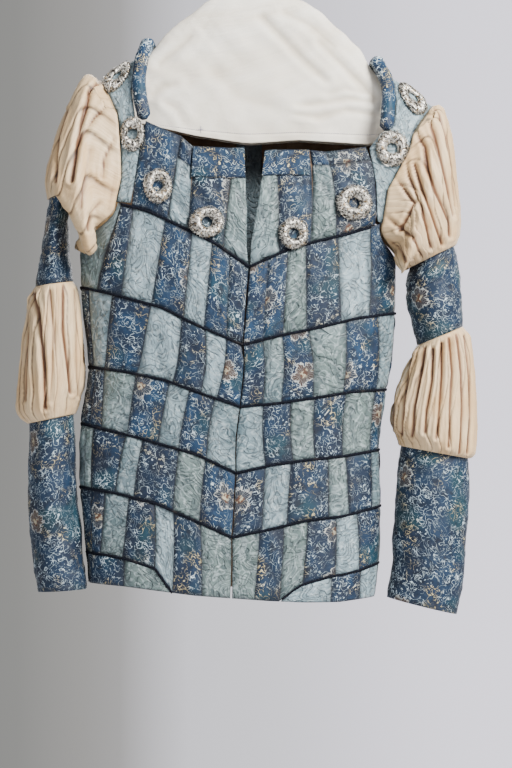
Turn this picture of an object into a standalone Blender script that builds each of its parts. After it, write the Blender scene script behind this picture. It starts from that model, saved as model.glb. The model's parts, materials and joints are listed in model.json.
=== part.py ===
"""A patchwork doublet with puffed sleeves on a cloth-covered hanger, modelled in Blender.

Lengths in the tables are millimetres. The hook's saddle is at the origin, the front faces -Y, and
"left" and "right" are as someone in front of the garment sees them.
"""

import math

import bmesh
import bpy
import numpy as np
from mathutils import Vector

MM = 0.001

# Cloth sizes
PANEL_WALL = 2.2
SLEEVE_WALL = 1.6
COVER_WALL = 1.6
BAND_WALL = 1.2
BAND_SEAT = 1.8
PATCH_PUFF = 1.3
TUCK_RISE = 3.0
SEAM_GAP = 0.4
YOKE_GAP = 1.0
ARMHOLE_GAP = 1.7
UNDERARM_GAP = 2.5
UNDERARM_SPAN = 40.0
ARMHOLE_LIFT = 4.5
FRONT_SLIT = 1.2
BRAID_WIDTH = 3.4
BRAID_RISE = 1.9
BRAID_SEAT = 0.9
BRAID_END_COLUMNS = 3
BODY_CLEARANCE = 3.0
PUFF_CLEARANCE = 6.1
HUG_CLEARANCE = 0.9

# The push out of the bodice fades over this turn, in radians, past a panel's edge, and is measured
# against the half depth with this much added for the wider corners
EDGE_FADE = 0.3
CORNER_ALLOWANCE = 30.0

# Bodice section: a rounded box whose corners follow this power
ROUNDNESS = 2.3
SHOULDER_DROP = 80.0

# Bodice sizes by height: z, left side x, right side x, half depth y
BODICE = np.array(
    (
        (-140, -215, 240, 42),
        (-208, -215, 240, 48),
        (-270, -214, 235, 56),
        (-330, -205, 205, 63),
        (-385, -194, 175, 69),
        (-427, -192, 171, 70),
        (-470, -188, 170, 69),
        (-519, -183, 165, 67),
        (-560, -188, 157, 64),
        (-600, -193, 152, 62),
        (-658, -193, 153, 60),
        (-715, -187, 153, 60),
        (-800, -182, 146, 63),
    ),
    float,
)

# Out of the garment is away from its middle line, taken this far below each point
MIDDLE_BELOW = 20.0

# Shoulder ridge: x, z from the left tip to the right tip
RIDGE = np.array(((-168, -187), (-112, -151), (150, -171), (213, -216)), float)

# Heights of the seams between rows, at these shares of the way from the centre front to each side
LINE_SHARES = (-1.0, -0.75, -0.5, -0.25, 0.0, 0.25, 0.5, 0.75, 1.0)
FRONT_LINES = {
    "a": (-330, -341, -359, -378, -404, -387, -375, -366, -354),
    "b": (-427, -438, -451, -474, -494, -483, -474, -463, -457),
    "c": (-519, -525, -534, -550, -565, -561, -555, -548, -545),
    "d": (-585, -595, -607, -620, -641, -632, -626, -622, -615),
    "e": (-658, -665, -676, -695, -715, -706, -696, -691, -680),
    "hem": (-769, -772, -777, -782, -785, -788, -790, -790, -785),
}
LINE_NAMES = tuple(FRONT_LINES)
ARMHOLE_CORNERS = {"left": -149.5, "right": 154.0}
ARMPITS = {"left": -385.0, "right": -399.0}

# Where each patch is cut into columns, and each row of patches into rows of points
STEPS = (0.0, 0.2, 0.8, 1.0)
ROW_STEPS = (0.0, 0.13, 0.87, 1.0)
ARMHOLE_STEPS = (0.0, 0.13, 0.28, 0.42, 0.55, 0.72, 0.87, 1.0)
YOKE_STEPS = (0.0, 0.12, 0.38, 0.62, 0.88, 1.0)

# Rows of a panel's points that lie on its seams, one for each row seam with a braid
SEAM_ROWS = {"a": 0, "b": 7, "c": 10, "d": 13, "e": 16}

# The back: how many patches a row has, how far its seams dip in the middle, and its neckline's ends
BACK_PATCHES = 8
BACK_DIP = 22.0
BACK_NECK = (-110.0, 145.0)
BACK_NECK_GAP = 1.2
BACK_YOKE_COLUMNS = 13
BACK_YOKE_STEPS = (0.0, 0.25, 0.5, 0.75, 1.0)
STRAP_GAP = 0.9

# A strap's rows, counted along its table, and the columns across it
STRAP_PLACES = (0, 0.35, 0.8, 1.4, 2.2, 3, 4, 5, 6, 7)
STRAP_COLUMNS = 4

# Patch seams of each row, from the centre front outwards: x along its top and bottom lines.
# Each letter is a patch, b for brocade and l for the light quilted cloth, and like letters join.
FRONT_ROWS = {
    "left": (
        {
            "patches": "bblblbl",
            "top": (2, -20, -40, -63, -94, -131, -145),
            "bottom": (-5, -24, -50, -73, -110, -145, -173),
        },
        {
            "patches": "blblblb",
            "top": (-5, -24, -48, -75, -110, -155, -183),
            "bottom": (-8, -35, -53, -86, -127, -165, -178),
        },
        {
            "patches": "lblblbb",
            "top": (-8, -37, -66, -89, -128, -165, -175),
            "bottom": (-13, -47, -79, -102, -138, -168, -182),
        },
        {
            "patches": "blblbll",
            "top": (-13, -48, -78, -120, -139, -177, -185),
            "bottom": (-18, -55, -85, -131, -152, -180, -187),
        },
        {
            "patches": "lblblbb",
            "top": (-18, -54, -85, -106, -136, -163, -180),
            "bottom": (-19, -52, -86, -106, -143, -168, -178),
        },
    ),
    "right": (
        {
            "patches": "bblblb",
            "top": (3, 24, 47, 67, 104, 142),
            "bottom": (-5, 18, 41, 68, 108, 140),
        },
        {
            "patches": "blblbl",
            "top": (-5, 18, 40, 70, 113, 150),
            "bottom": (-8, 18, 39, 76, 110, 149),
        },
        {
            "patches": "lblblb",
            "top": (-8, 18, 50, 77, 114, 148),
            "bottom": (-13, 21, 53, 78, 110, 142),
        },
        {
            "patches": "blblbl",
            "top": (-13, 21, 50, 93, 113, 143),
            "bottom": (-18, 17, 45, 94, 117, 144),
        },
        {
            "patches": "lblblb",
            "top": (-18, 14, 42, 69, 102, 126),
            "bottom": (-18, 8, 37, 62, 99, 126),
        },
    ),
}

# Yokes above the first row seam: x along the neckline and the seam, and the neckline's height
YOKES = {
    "left": {
        "patches": "lblb",
        "top": (-3, -16, -62, -76, -117),
        "bottom": (2, -27, -68, -91, -133),
        "neckline": (-267, -268, -266, -254, -236),
        "tuck": 2,
        "band": (0, 2, 36),
    },
    "right": {
        "patches": "lblb",
        "top": (20, 30, 71, 90, 136),
        "bottom": (3, 37, 73, 102, 147),
        "neckline": (-271, -270, -270, -272, -266),
        "tuck": 2,
        "band": (0, 2, 30),
    },
}

# Straps from the ridge down to the first row seam: inner x, inner z, outer x, outer z
STRAPS = {
    "left": np.array(
        (
            (-123, -158, -168, -187),
            (-131, -174, -161, -200),
            (-133.8, -200, -149, -224),
            (-129, -235, -146, -244),
            (-119, -245, -145.5, -252),
            (-124, -268, -144, -275),
            (-129, -300, -143.5, -302),
            (-134.4, -331, -149.5, -330),
        ),
        float,
    ),
    "right": np.array(
        (
            (158.5, -177, 213, -216),
            (169.5, -190, 203, -229),
            (172.4, -212, 190, -247),
            (169, -241, 187, -262),
            (154, -250, 184, -271),
            (140.5, -268, 176, -286),
            (148.4, -310, 160, -315),
            (150, -352, 154, -354),
        ),
        float,
    ),
}

# Neck roll by its middle line: x, y, z
ROLL_RADIUS = 8.0
NECK_ROLLS = {
    "neck_roll_left": (
        (-115.5, -0.9, -145),
        (-115.8, -9, -145.6),
        (-122, -21, -163),
        (-125, -33, -190),
        (-123, -40, -212),
        (-119, -44.5, -231),
    ),
    "neck_roll_back": (
        (-115.5, 0.9, -145),
        (-115.3, 9, -145.6),
        (-104, 25, -168),
        (-60, 37, -187),
        (10, 42, -196),
        (90, 41, -199),
        (138, 30, -195),
        (150.4, 9, -166.6),
        (150.5, 0.9, -166),
    ),
    "neck_roll_right": (
        (150.5, -0.9, -166),
        (150.7, -9, -166.6),
        (160, -22, -186),
        (163.5, -33, -209),
        (160.5, -42, -239),
    ),
}

# Sleeves by sections from the top: the outer and inner edges' x and z, how far the section
# reaches to the front and the back, and y of the inner edge
SLEEVE_COLUMNS = ("outer_x", "outer_z", "inner_x", "inner_z", "front", "back", "inner_y")
SLEEVES = {
    "left": {
        "upper_puff": (
            (-188, -181, -176, -378, -54, 46, -36),
            (-208, -217, -178, -389, -66, 52, -52),
            (-223, -258, -184, -388, -66, 50, -46),
            (-233, -296, -191, -366, -60, 50, -24),
        ),
        "upper_band": (
            (-228, -312, -203, -306, -42, 38, -4),
            (-233, -345, -207, -340, -44, 40, -2),
            (-239, -382, -207, -378, -45, 41, 0),
            (-246, -426, -202, -420, -44, 40, 0),
        ),
        "elbow_puff": (
            (-252, -440, -197, -432, -48, 44, 0),
            (-256, -470, -193, -462, -54, 50, 0),
            (-261, -505, -189, -495, -57, 53, 0),
            (-265, -545, -190, -535, -58, 54, 0),
            (-266, -570, -195, -556, -54, 50, 0),
        ),
        "lower_sleeve": (
            (-252, -560, -204, -546, -42, 38, 0),
            (-254, -622, -199, -616, -44, 40, 0),
            (-254, -690, -196, -682, -42, 38, 0),
            (-248, -750, -188, -742, -38, 34, 0),
            (-243, -780, -184, -776, -36, 32, 0),
        ),
    },
    "right": {
        "upper_puff": (
            (224, -218, 172, -392, -56, 46, -34),
            (234, -250, 177, -408, -68, 54, -48),
            (240, -300, 178, -411, -68, 54, -42),
            (245, -348, 180, -404, -61, 50, -28),
        ),
        "upper_band": (
            (238, -372, 192, -392, -44, 38, 0),
            (243, -392, 184, -424, -46, 40, 0),
            (248, -425, 186, -450, -46, 41, 0),
            (250, -472, 197, -494, -44, 40, 0),
        ),
        "elbow_puff": (
            (256, -486, 192, -505, -48, 44, 0),
            (260, -515, 182, -530, -54, 50, 0),
            (263, -552, 170, -562, -58, 54, 0),
            (264, -592, 168, -586, -58, 54, 0),
            (262, -620, 174, -598, -54, 50, 0),
        ),
        "lower_sleeve": (
            (254, -606, 182, -592, -43, 39, 0),
            (258, -655, 174, -640, -45, 41, 0),
            (254, -718, 170, -700, -43, 39, 0),
            (250, -770, 167, -750, -40, 36, 0),
            (243, -806, 162, -786, -38, 34, 0),
        ),
    },
}
PLEATS = 12
PLEAT_SHAPE = (0.0, 0.55, 1.0)
PLEAT_DEPTH = {"upper_puff": 3.6, "elbow_puff": 4.0}
UPPER_FADE = (0, 0, 0.9, 1, 1, 1, 0.7, 0)
ELBOW_FADE = (0, 0.7, 1, 1, 1, 1, 0.8, 0)
TUBE_COLUMNS = 16

# Wire ornaments: x, z, outer width, outer height; the shoulder ones give how far down the strap
# they sit instead of z
CHEST_RINGS = {
    "ring_chest_left_outer": (-102, -312, 33, 40),
    "ring_chest_left_inner": (-46, -354, 40, 36),
    "ring_chest_right_inner": (53, -367, 34, 36),
    "ring_chest_right_outer": (122, -331, 42, 40),
    "ring_strap_left": (-131.5, -252, 28, 40),
    "ring_strap_right": (166, -268, 38, 42),
}
SHOULDER_RINGS = {
    "ring_shoulder_left": (-150.5, 24, 32, 34),
    "ring_shoulder_right": (191, 24, 33, 36),
}
RING_HOLE = 12.0
RING_THICKNESS = 7.0
CHEST_RING_SEAT = 1.2
STRAP_RING_SEAT = 0.1
RING_STEPS = 12
RING_SECTION_STEPS = 5

# The shoulder's curve from front to back under a ring, and its slope from the neck to the arm
SHOULDER_CURVE = 50.0
SHOULDER_SLOPE = 0.25

# Hanger cover by height: z, left x, right x, half depth
COVER = np.array(
    (
        (-80, 5.0, 13.0, 4.0),
        (-84, -14, 34, 6),
        (-89, -34, 54, 8),
        (-96, -48, 68, 11),
        (-118, -79.4, 97.4, 14.4),
        (-134, -95.4, 115.4, 16.4),
        (-150, -108.4, 128.4, 17.4),
        (-170, -129.4, 142.4, 18.4),
        (-194, -152.4, 160.4, 20.4),
        (-216, -158, 181, 21),
        (-236, -160, 189, 22),
    ),
    float,
)
COVER_HEM = ((-170, -226), (-60, -252), (0, -261), (60, -257), (140, -262), (210, -252))
COVER_STEPS = 24
COVER_SQUARENESS = 0.8

# Hanger: the bar's middle line, and the wire hook
BAR = (
    (-138, 0, -199),
    (-100, 0, -159),
    (-50, 0, -115),
    (9, 0, -96),
    (66, 0, -114),
    (116, 0, -162),
    (156, 0, -214),
)
BAR_RADIUS = 7.0
WIRE_RADIUS = 2.0
CROOK_RADIUS = 17.0
CROOK_TURNS = (-0.5, math.pi + 0.35)
CROOK_STEPS = 14
HOOK_STEM = ((9, -89.6), (9, -62), (11, -50), (17, -38))
BAR_STEPS = 13

# Colours: red, green and blue, then roughness and metallic
COLOURS = {
    "brocade": ((0.055, 0.17, 0.33), 0.45, 0.25),
    "quilted_cloth": ((0.30, 0.43, 0.46), 0.6, 0.0),
    "silk": ((0.72, 0.56, 0.45), 0.55, 0.0),
    "braid": ((0.015, 0.02, 0.035), 0.8, 0.0),
    "silver_thread": ((0.62, 0.58, 0.5), 0.35, 0.8),
    "calico": ((0.80, 0.76, 0.68), 0.85, 0.0),
    "lining": ((0.16, 0.10, 0.065), 0.8, 0.0),
    "wood": ((0.45, 0.30, 0.17), 0.5, 0.0),
    "steel_wire": ((0.6, 0.6, 0.6), 0.3, 1.0),
}

collection = None


def smooth(places, values, at):
    """Values of a smooth curve through a table, at other places."""
    places = np.asarray(places, float)
    values = np.asarray(values, float)
    slopes = np.gradient(values, places, axis=0)
    at = np.clip(np.asarray(at, float), places[0], places[-1])
    k = np.clip(np.searchsorted(places, at) - 1, 0, len(places) - 2)
    span = places[k + 1] - places[k]
    s = (at - places[k]) / span
    more = (1,) * (values.ndim - 1)
    s = s.reshape(s.shape + more)
    span = span.reshape(span.shape + more)
    rise = s * s * (3 - 2 * s)
    start = s * (1 - s) ** 2 * span
    end = -s * s * (1 - s) * span
    return values[k] * (1 - rise) + values[k + 1] * rise + slopes[k] * start + slopes[k + 1] * end


def bodice_sizes(z):
    """The bodice's middle x, half width and half depth at a height."""
    left, right, depth = np.moveaxis(smooth(-BODICE[:, 0], BODICE[:, 1:], -np.asarray(z, float)), -1, 0)
    return (left + right) / 2, (right - left) / 2, depth


def shoulder_share(x, z):
    """How much of its depth the bodice has this far below the shoulder ridge."""
    below = (np.interp(x, RIDGE[:, 0], RIDGE[:, 1]) - z) / SHOULDER_DROP
    below = np.clip(below, 0, 1)
    return np.sqrt(1 - (1 - below) ** 2)


def bodice_point(turn, z, side=-1):
    """A point of the bodice. Turn is 0 at the centre and a quarter circle at each side seam."""
    z = np.asarray(z, float)
    middle, half, depth = bodice_sizes(z)
    across = np.sign(np.sin(turn)) * np.abs(np.sin(turn)) ** (2 / ROUNDNESS)
    x = middle + half * across
    y = side * depth * np.abs(np.cos(turn)) ** (2 / ROUNDNESS) * shoulder_share(x, z)
    return np.stack([x, y, z + 0 * x], axis=-1)


def turn_at(x, z):
    middle, half, _ = bodice_sizes(z)
    share = np.clip((x - middle) / half, -1, 1)
    return np.arcsin(np.sign(share) * np.abs(share) ** (ROUNDNESS / 2))


def surface_at(x, z, side=-1):
    return bodice_point(turn_at(x, z), z, side)


def sign_of(side_name):
    return -1 if side_name == "left" else 1


def quarter(side_name):
    return sign_of(side_name) * math.pi / 2


def side_turn(side_name, z):
    """Turn of a panel's outer edge: along the armhole down to the armpit, then the side seam."""
    top = FRONT_LINES["a"][0 if side_name == "left" else -1]
    start = turn_at(ARMHOLE_CORNERS[side_name], top)
    share = np.clip((top - z) / (top - ARMPITS[side_name]), 0, 1)
    return start + (quarter(side_name) - start) * share**2


def line_height(line, share):
    return np.interp(share, LINE_SHARES, FRONT_LINES[line])


def line_turns(side_name, line, seams, steps):
    """Turns and heights along a row seam, with the same few steps inside each patch."""
    sign = sign_of(side_name)
    end_z = float(line_height(line, sign))
    end = side_turn(side_name, end_z)
    end_x = float(bodice_point(end, end_z)[0])
    places = subdivided(np.array(list(seams) + [end_x], float), steps)
    shares = np.abs((places - places[0]) / (end_x - places[0])) * sign
    heights = line_height(line, shares)
    turns = turn_at(places, heights)
    turns[-1] = end
    return turns, heights


def subdivided(values, steps):
    """Each stretch between two values is cut at the steps, which run from 0 up to 1."""
    inner = np.array(steps[:-1])
    parts = [a + (b - a) * inner for a, b in zip(values[:-1], values[1:])]
    return np.concatenate(parts + [values[-1:]])


def patch_rise(patches, steps):
    """How raised each column is: 0 on a seam between unlike patches, 1 inside a patch."""
    rises = []
    for i, letter in enumerate(patches):
        rises.append(0.0 if i == 0 or patches[i - 1] != letter else 1.0)
        rises.extend([1.0] * (len(steps) - 2))
    return np.array(rises + [0.0])


def pinned_side(turns, steps, new_end):
    """The last two patches are stretched so that the panel's edge follows the armhole."""
    first = len(turns) - 1 - 2 * (len(steps) - 1)
    span = turns[-1] - turns[first]
    moved = turns.copy()
    share = (turns[first:] - turns[first]) / span
    moved[first:] = turns[first] + share * (new_end - turns[first])
    return moved


def front_grid(side_name):
    """Points of a front panel, top row first, and how far each is raised."""
    rows = FRONT_ROWS[side_name]
    slit = sign_of(side_name) * FRONT_SLIT / 2
    turns = []
    heights = []
    rises = []
    for k, row in enumerate(rows):
        steps = ARMHOLE_STEPS if k == 0 else ROW_STEPS
        top = line_turns(side_name, LINE_NAMES[k], row["top"], STEPS)
        bottom = line_turns(side_name, LINE_NAMES[k + 1], row["bottom"], STEPS)
        columns = patch_rise(row["patches"], STEPS)
        for share in steps:
            if share == 0 and k:
                turns[-1] = (turns[-1] + top[0]) / 2
                continue
            line = top[0] + (bottom[0] - top[0]) * share
            height = top[1] + (bottom[1] - top[1]) * share
            if k == 0:
                line = pinned_side(line, STEPS, side_turn(side_name, height[-1]))
            turns.append(line)
            heights.append(height)
            rises.append(columns * (0 < share < 1))
    turns, heights, rises = np.array(turns), np.array(heights), np.array(rises)
    heights[0] -= YOKE_GAP / 2
    points = bodice_point(turns, heights)
    points[:, 0, 0] += slit
    points[:, -1, 1] -= SEAM_GAP / 2
    return points, rises * PATCH_PUFF


def yoke_grid(side_name):
    """Points of a yoke from the neckline to the first row seam, with its tuck."""
    yoke = YOKES[side_name]
    bottom_x = subdivided(np.array(yoke["bottom"], float), STEPS)
    end_x = ARMHOLE_CORNERS[side_name]
    shares = np.abs((bottom_x - bottom_x[0]) / (end_x - bottom_x[0])) * sign_of(side_name)
    bottom_z = line_height("a", shares) + YOKE_GAP / 2
    top_z = np.array(yoke["neckline"], float)
    top_turn = subdivided(turn_at(np.array(yoke["top"], float), top_z), STEPS)
    bottom_turn = turn_at(bottom_x, bottom_z)
    top_z = subdivided(top_z, STEPS)
    columns = patch_rise(yoke["patches"], STEPS)
    tuck = (len(STEPS) - 1) * yoke["tuck"]
    points = []
    rises = []
    for share in YOKE_STEPS:
        turn = top_turn + (bottom_turn - top_turn) * share
        z = top_z + (bottom_z - top_z) * share
        points.append(bodice_point(turn, z))
        rise = columns * PATCH_PUFF * (0 < share < 1)
        rise[tuck + 1] = TUCK_RISE * (0.1 < share < 0.9) + rise[tuck + 1] * (share > 0.9)
        rises.append(rise)
    points = np.array(points)
    points[:, 0, 0] += sign_of(side_name) * FRONT_SLIT / 2
    return points, np.array(rises)


def back_grid():
    """Points of the back panel, whose rows meet the fronts' rows at the side seams."""
    shares = subdivided(np.linspace(-1, 1, BACK_PATCHES + 1), STEPS)
    points = []
    rises = []
    patches = "bl" * (BACK_PATCHES // 2)
    columns = patch_rise(patches, STEPS)
    for k in range(len(LINE_NAMES) - 1):
        steps = ARMHOLE_STEPS if k == 0 else ROW_STEPS
        tops, bottoms = back_line(LINE_NAMES[k], shares), back_line(LINE_NAMES[k + 1], shares)
        for share in steps:
            if share == 0 and k:
                continue
            z = tops + (bottoms - tops) * share
            left = side_turn("left", z[0])
            right = side_turn("right", z[-1])
            turn = (left + right) / 2 + (right - left) / 2 * shares
            points.append(bodice_point(turn, z, 1))
            rises.append(columns * (0 < share < 1))
    points = np.array(points)
    points[0, :, 2] -= YOKE_GAP / 2
    points[:, (0, -1), 1] += SEAM_GAP / 2
    return points, np.array(rises) * PATCH_PUFF


def back_line(line, shares):
    """Heights of a row seam across the back, a little lower in the middle."""
    left, right = FRONT_LINES[line][0], FRONT_LINES[line][-1]
    dip = BACK_DIP if line != "hem" else 0.0
    return left + (right - left) * (shares + 1) / 2 - dip * (1 - np.abs(shares))


def back_yoke_grid():
    """Points of the back yoke, between the straps' back ends and below the neck roll."""
    shares = np.linspace(-1, 1, BACK_YOKE_COLUMNS)
    inner_left = STRAPS["left"][-1, 0] + STRAP_GAP
    inner_right = STRAPS["right"][-1, 0] - STRAP_GAP
    corner_left, corner_right = ARMHOLE_CORNERS["left"], ARMHOLE_CORNERS["right"]
    bottom_x = inner_left + (inner_right - inner_left) * (shares + 1) / 2
    whole = 2 * (bottom_x - corner_left) / (corner_right - corner_left) - 1
    bottom_z = back_line("a", whole) + YOKE_GAP / 2
    roll = np.array(NECK_ROLLS["neck_roll_back"])
    top_x = BACK_NECK[0] + (BACK_NECK[1] - BACK_NECK[0]) * (shares + 1) / 2
    top_z = np.interp(top_x, roll[1:-1, 0], roll[1:-1, 2]) - ROLL_RADIUS - BACK_NECK_GAP
    points = []
    for share in BACK_YOKE_STEPS:
        z = top_z + (bottom_z - top_z) * share
        x = top_x + (bottom_x - top_x) * share
        left = back_strap_edge("left", z[0]) + STRAP_GAP
        right = back_strap_edge("right", z[-1]) - STRAP_GAP
        x = left + (right - left) * (x - x[0]) / (x[-1] - x[0])
        points.append(surface_at(x, z, 1))
    return np.array(points)


def strap_grid(side_name):
    """Points of a strap, from the front row seam over the shoulder to the back."""
    table = STRAPS[side_name]
    places = np.array(STRAP_PLACES)
    rows = np.array([[np.interp(p, range(len(table)), table[:, c]) for c in range(4)] for p in places])
    rows[-1, (1, 3)] += YOKE_GAP / 2
    points = []
    for side, order in ((-1, range(len(rows) - 1, -1, -1)), (1, range(1, len(rows)))):
        for k in order:
            inner_x, inner_z, outer_x, outer_z = rows[k]
            if side > 0:
                inner_x = back_strap_edge(side_name, inner_z)
            share = np.linspace(0, 1, STRAP_COLUMNS)
            x = inner_x + (outer_x - inner_x) * share
            z = inner_z + (outer_z - inner_z) * share
            if k == 0:
                z = np.interp(x, RIDGE[:, 0], RIDGE[:, 1])
            points.append(surface_at(x, z, side))
    return np.array(points)


def back_strap_edge(side_name, z):
    """The strap's inner edge on the back, straight from below the neck roll to the row seam."""
    table = STRAPS[side_name]
    rows = table[(table[:, 1] > table[2, 1] - 1) | (table[:, 1] == table[-1, 1])]
    return np.interp(-z, -rows[:, 1], rows[:, 0])


def normals_of(points, closed=False):
    """Directions out of the garment at the points of a grid, whose rows run down."""
    down = np.gradient(points, axis=0)
    if closed:
        around = np.roll(points, -1, axis=1) - np.roll(points, 1, axis=1)
        away = points - points.mean(axis=1, keepdims=True)
    else:
        around = np.gradient(points, axis=1)
        away = points - points.mean(axis=1, keepdims=True) * (1, 0, 1) + (0, 0, MIDDLE_BELOW)
    normal = np.cross(down, around)
    normal = normal / np.linalg.norm(normal, axis=2, keepdims=True)
    return normal if np.sum(normal * away) > 0 else -normal


def grid_solid(name, outer, inner, closed, material):
    """A closed solid between two grids of points. The rows end in two rims, and an open grid has
    two more along its sides."""
    rows, columns = outer.shape[:2]
    mesh = bpy.data.meshes.new(name)
    form = bmesh.new()
    out = [[form.verts.new(p * MM) for p in row] for row in outer]
    into = [[form.verts.new(p * MM) for p in row] for row in inner]
    last = columns if closed else columns - 1
    for r in range(rows - 1):
        for c in range(last):
            n = (c + 1) % columns
            form.faces.new((out[r][c], out[r + 1][c], out[r + 1][n], out[r][n]))
            form.faces.new((into[r][c], into[r][n], into[r + 1][n], into[r + 1][c]))
    for r in (0, rows - 1):
        for c in range(last):
            n = (c + 1) % columns
            form.faces.new((out[r][c], out[r][n], into[r][n], into[r][c]))
    if not closed:
        for c in (0, columns - 1):
            for r in range(rows - 1):
                form.faces.new((out[r][c], into[r][c], into[r + 1][c], out[r + 1][c]))
    bmesh.ops.triangulate(form, faces=form.faces)
    bmesh.ops.recalc_face_normals(form, faces=form.faces)
    form.to_mesh(mesh)
    form.free()
    mesh.shade_smooth()
    return add_object(name, mesh, material)


def add_object(name, data, material):
    made = bpy.data.objects.new(name, data)
    made.data.materials.append(bpy.data.materials[material])
    collection.objects.link(made)
    return made


def cloth_wall(name, points, wall, material, rise=None, closed=False):
    """A wall of cloth: a plain inside and an outside raised by the given heights."""
    normal = normals_of(points, closed)
    if not closed:
        # A wall ends square at the side seams, where the front and the back meet
        normal[..., 1] *= np.abs(points[..., 1]) > SEAM_GAP
        normal = normal / np.linalg.norm(normal, axis=2, keepdims=True)
    outer = points if rise is None else points + normal * rise[..., None]
    return grid_solid(name, outer, points - normal * wall, closed, material)


def section_ring(row, angles):
    """A sleeve's section. It starts at the outer edge and runs through the front and the inner edge."""
    size = dict(zip(SLEEVE_COLUMNS, row))
    outer = np.array((size["outer_x"], 0.0, size["outer_z"]))
    inner = np.array((size["inner_x"], size["inner_y"], size["inner_z"]))
    middle = (outer + inner) / 2
    front = np.array((middle[0], size["front"], middle[2]))
    back = np.array((middle[0], size["back"], middle[2]))
    return four_point_ring(outer, front, inner, back, angles)


def four_point_ring(outer, front, inner, back, angles):
    """The smoothest closed curve through four points a quarter turn apart."""
    c, s, c2 = (f[:, None] for f in (np.cos(angles), np.sin(angles), np.cos(2 * angles)))
    mean = (outer + front + inner + back) / 4
    across, through = (outer - inner) / 2, (front - back) / 2
    return mean + across * c + through * s + (outer + inner - front - back) / 4 * c2


def armhole_ring(side_name, angles):
    """The armhole's edge, from the shoulder tip down the front, under the arm and up the back."""
    strap = strap_grid(side_name)[:, -1]
    ridge = len(strap) // 2
    panel = front_grid(side_name)[0][1 : len(ARMHOLE_STEPS), -1]
    panel = panel[panel[:, 2] > ARMPITS[side_name]]
    front = np.concatenate([strap[ridge::-1], panel])
    under = bodice_point(quarter(side_name), ARMPITS[side_name])[None]
    back = front[::-1] * (1, -1, 1)
    loop = np.concatenate([front, under, back])
    run = np.concatenate([[0], np.cumsum(np.linalg.norm(np.diff(loop, axis=0), axis=1))])
    share = (angles % (2 * math.pi)) / (2 * math.pi)
    ring = np.stack([np.interp(share, run / run[-1], loop[:, c]) for c in range(3)], axis=1)
    low = np.clip((FRONT_LINES["a"][0] - ring[:, 2]) / UNDERARM_SPAN, 0, 1)
    ring[:, 0] += sign_of(side_name) * ARMHOLE_GAP
    ring[:, 2] += UNDERARM_GAP * low
    return ring


def clear_of_body(points, side_name, clearance=BODY_CLEARANCE):
    """Points pushed out of the bodice until they are this far from it, where it has cloth."""
    z = points[..., 2]
    middle, half, depth = bodice_sizes(z)
    across = np.abs((points[..., 0] - middle) / half)
    along = np.abs(points[..., 1] / depth)
    reach = (across**ROUNDNESS + along**ROUNDNESS) ** (1 / ROUNDNESS)
    turn = np.arctan2(across ** (ROUNDNESS / 2), along ** (ROUNDNESS / 2))
    edge = np.abs(side_turn(side_name, z))
    near = np.clip((edge + EDGE_FADE - turn) / EDGE_FADE, 0, 1)
    wanted = 1 + clearance / (depth + CORNER_ALLOWANCE)
    share = 1 + np.maximum(0, wanted / reach - 1) * near
    moved = points.copy()
    moved[..., 0] = middle + (points[..., 0] - middle) * share
    moved[..., 1] = points[..., 1] * share
    return moved


def pleated(points, depth, fade):
    """Knife pleats that run along a sleeve: each column is raised or left by the pleat's shape."""
    columns = points.shape[1]
    shape = np.array([PLEAT_SHAPE[c % len(PLEAT_SHAPE)] for c in range(columns)])
    normal = normals_of(points, closed=True)
    return points + normal * (depth * shape * np.array(fade)[:, None])[..., None]


def ring_angles(count, side_name):
    """Angles round a section, in the order that keeps the outside facing out."""
    return np.arange(count) * 2 * math.pi / count * sign_of(side_name) * -1


def resampled(rings, count):
    """More rings along a sleeve, on smooth curves through those given."""
    run = np.arange(len(rings))
    return smooth(run, rings, np.linspace(0, len(rings) - 1, count))


def sleeve_stack(side_name, part, angles):
    return np.array([section_ring(row, angles) for row in SLEEVES[side_name][part]])


def grown(ring, centre, by):
    """A ring moved outwards in its own plane."""
    away = ring - centre
    return ring + away / np.linalg.norm(away, axis=1, keepdims=True) * by


def tube_rings(side_name, part, angles, count):
    """The rings of a plain tube of a sleeve, clear of the bodice."""
    return clear_of_body(resampled(sleeve_stack(side_name, part, angles), count), side_name)


def lifted_off_body(ring):
    """A ring moved straight away from the bodice's middle line."""
    middle, half, depth = bodice_sizes(ring[:, 2])
    away = np.stack([(ring[:, 0] - middle) / half**2, ring[:, 1] / depth**2, 0 * middle], axis=1)
    return ring + away / np.linalg.norm(away, axis=1, keepdims=True) * ARMHOLE_LIFT


def add_puff(side_name, part, starts, end, fade, angles):
    """A pleated puff from one ring to another, through the table's sections."""
    rings = np.concatenate([starts, sleeve_stack(side_name, part, angles), end[None]])
    rest = len(starts) - 1
    rings = np.concatenate([rings[:rest], resampled(rings[rest:], len(fade) - rest)])
    rings = pleated(rings, PLEAT_DEPTH[part], fade)
    rings[1:-1] = clear_of_body(rings[1:-1], side_name, PUFF_CLEARANCE)
    cloth_wall(f"{part}_{side_name}", rings, SLEEVE_WALL, "silk", closed=True)


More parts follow.
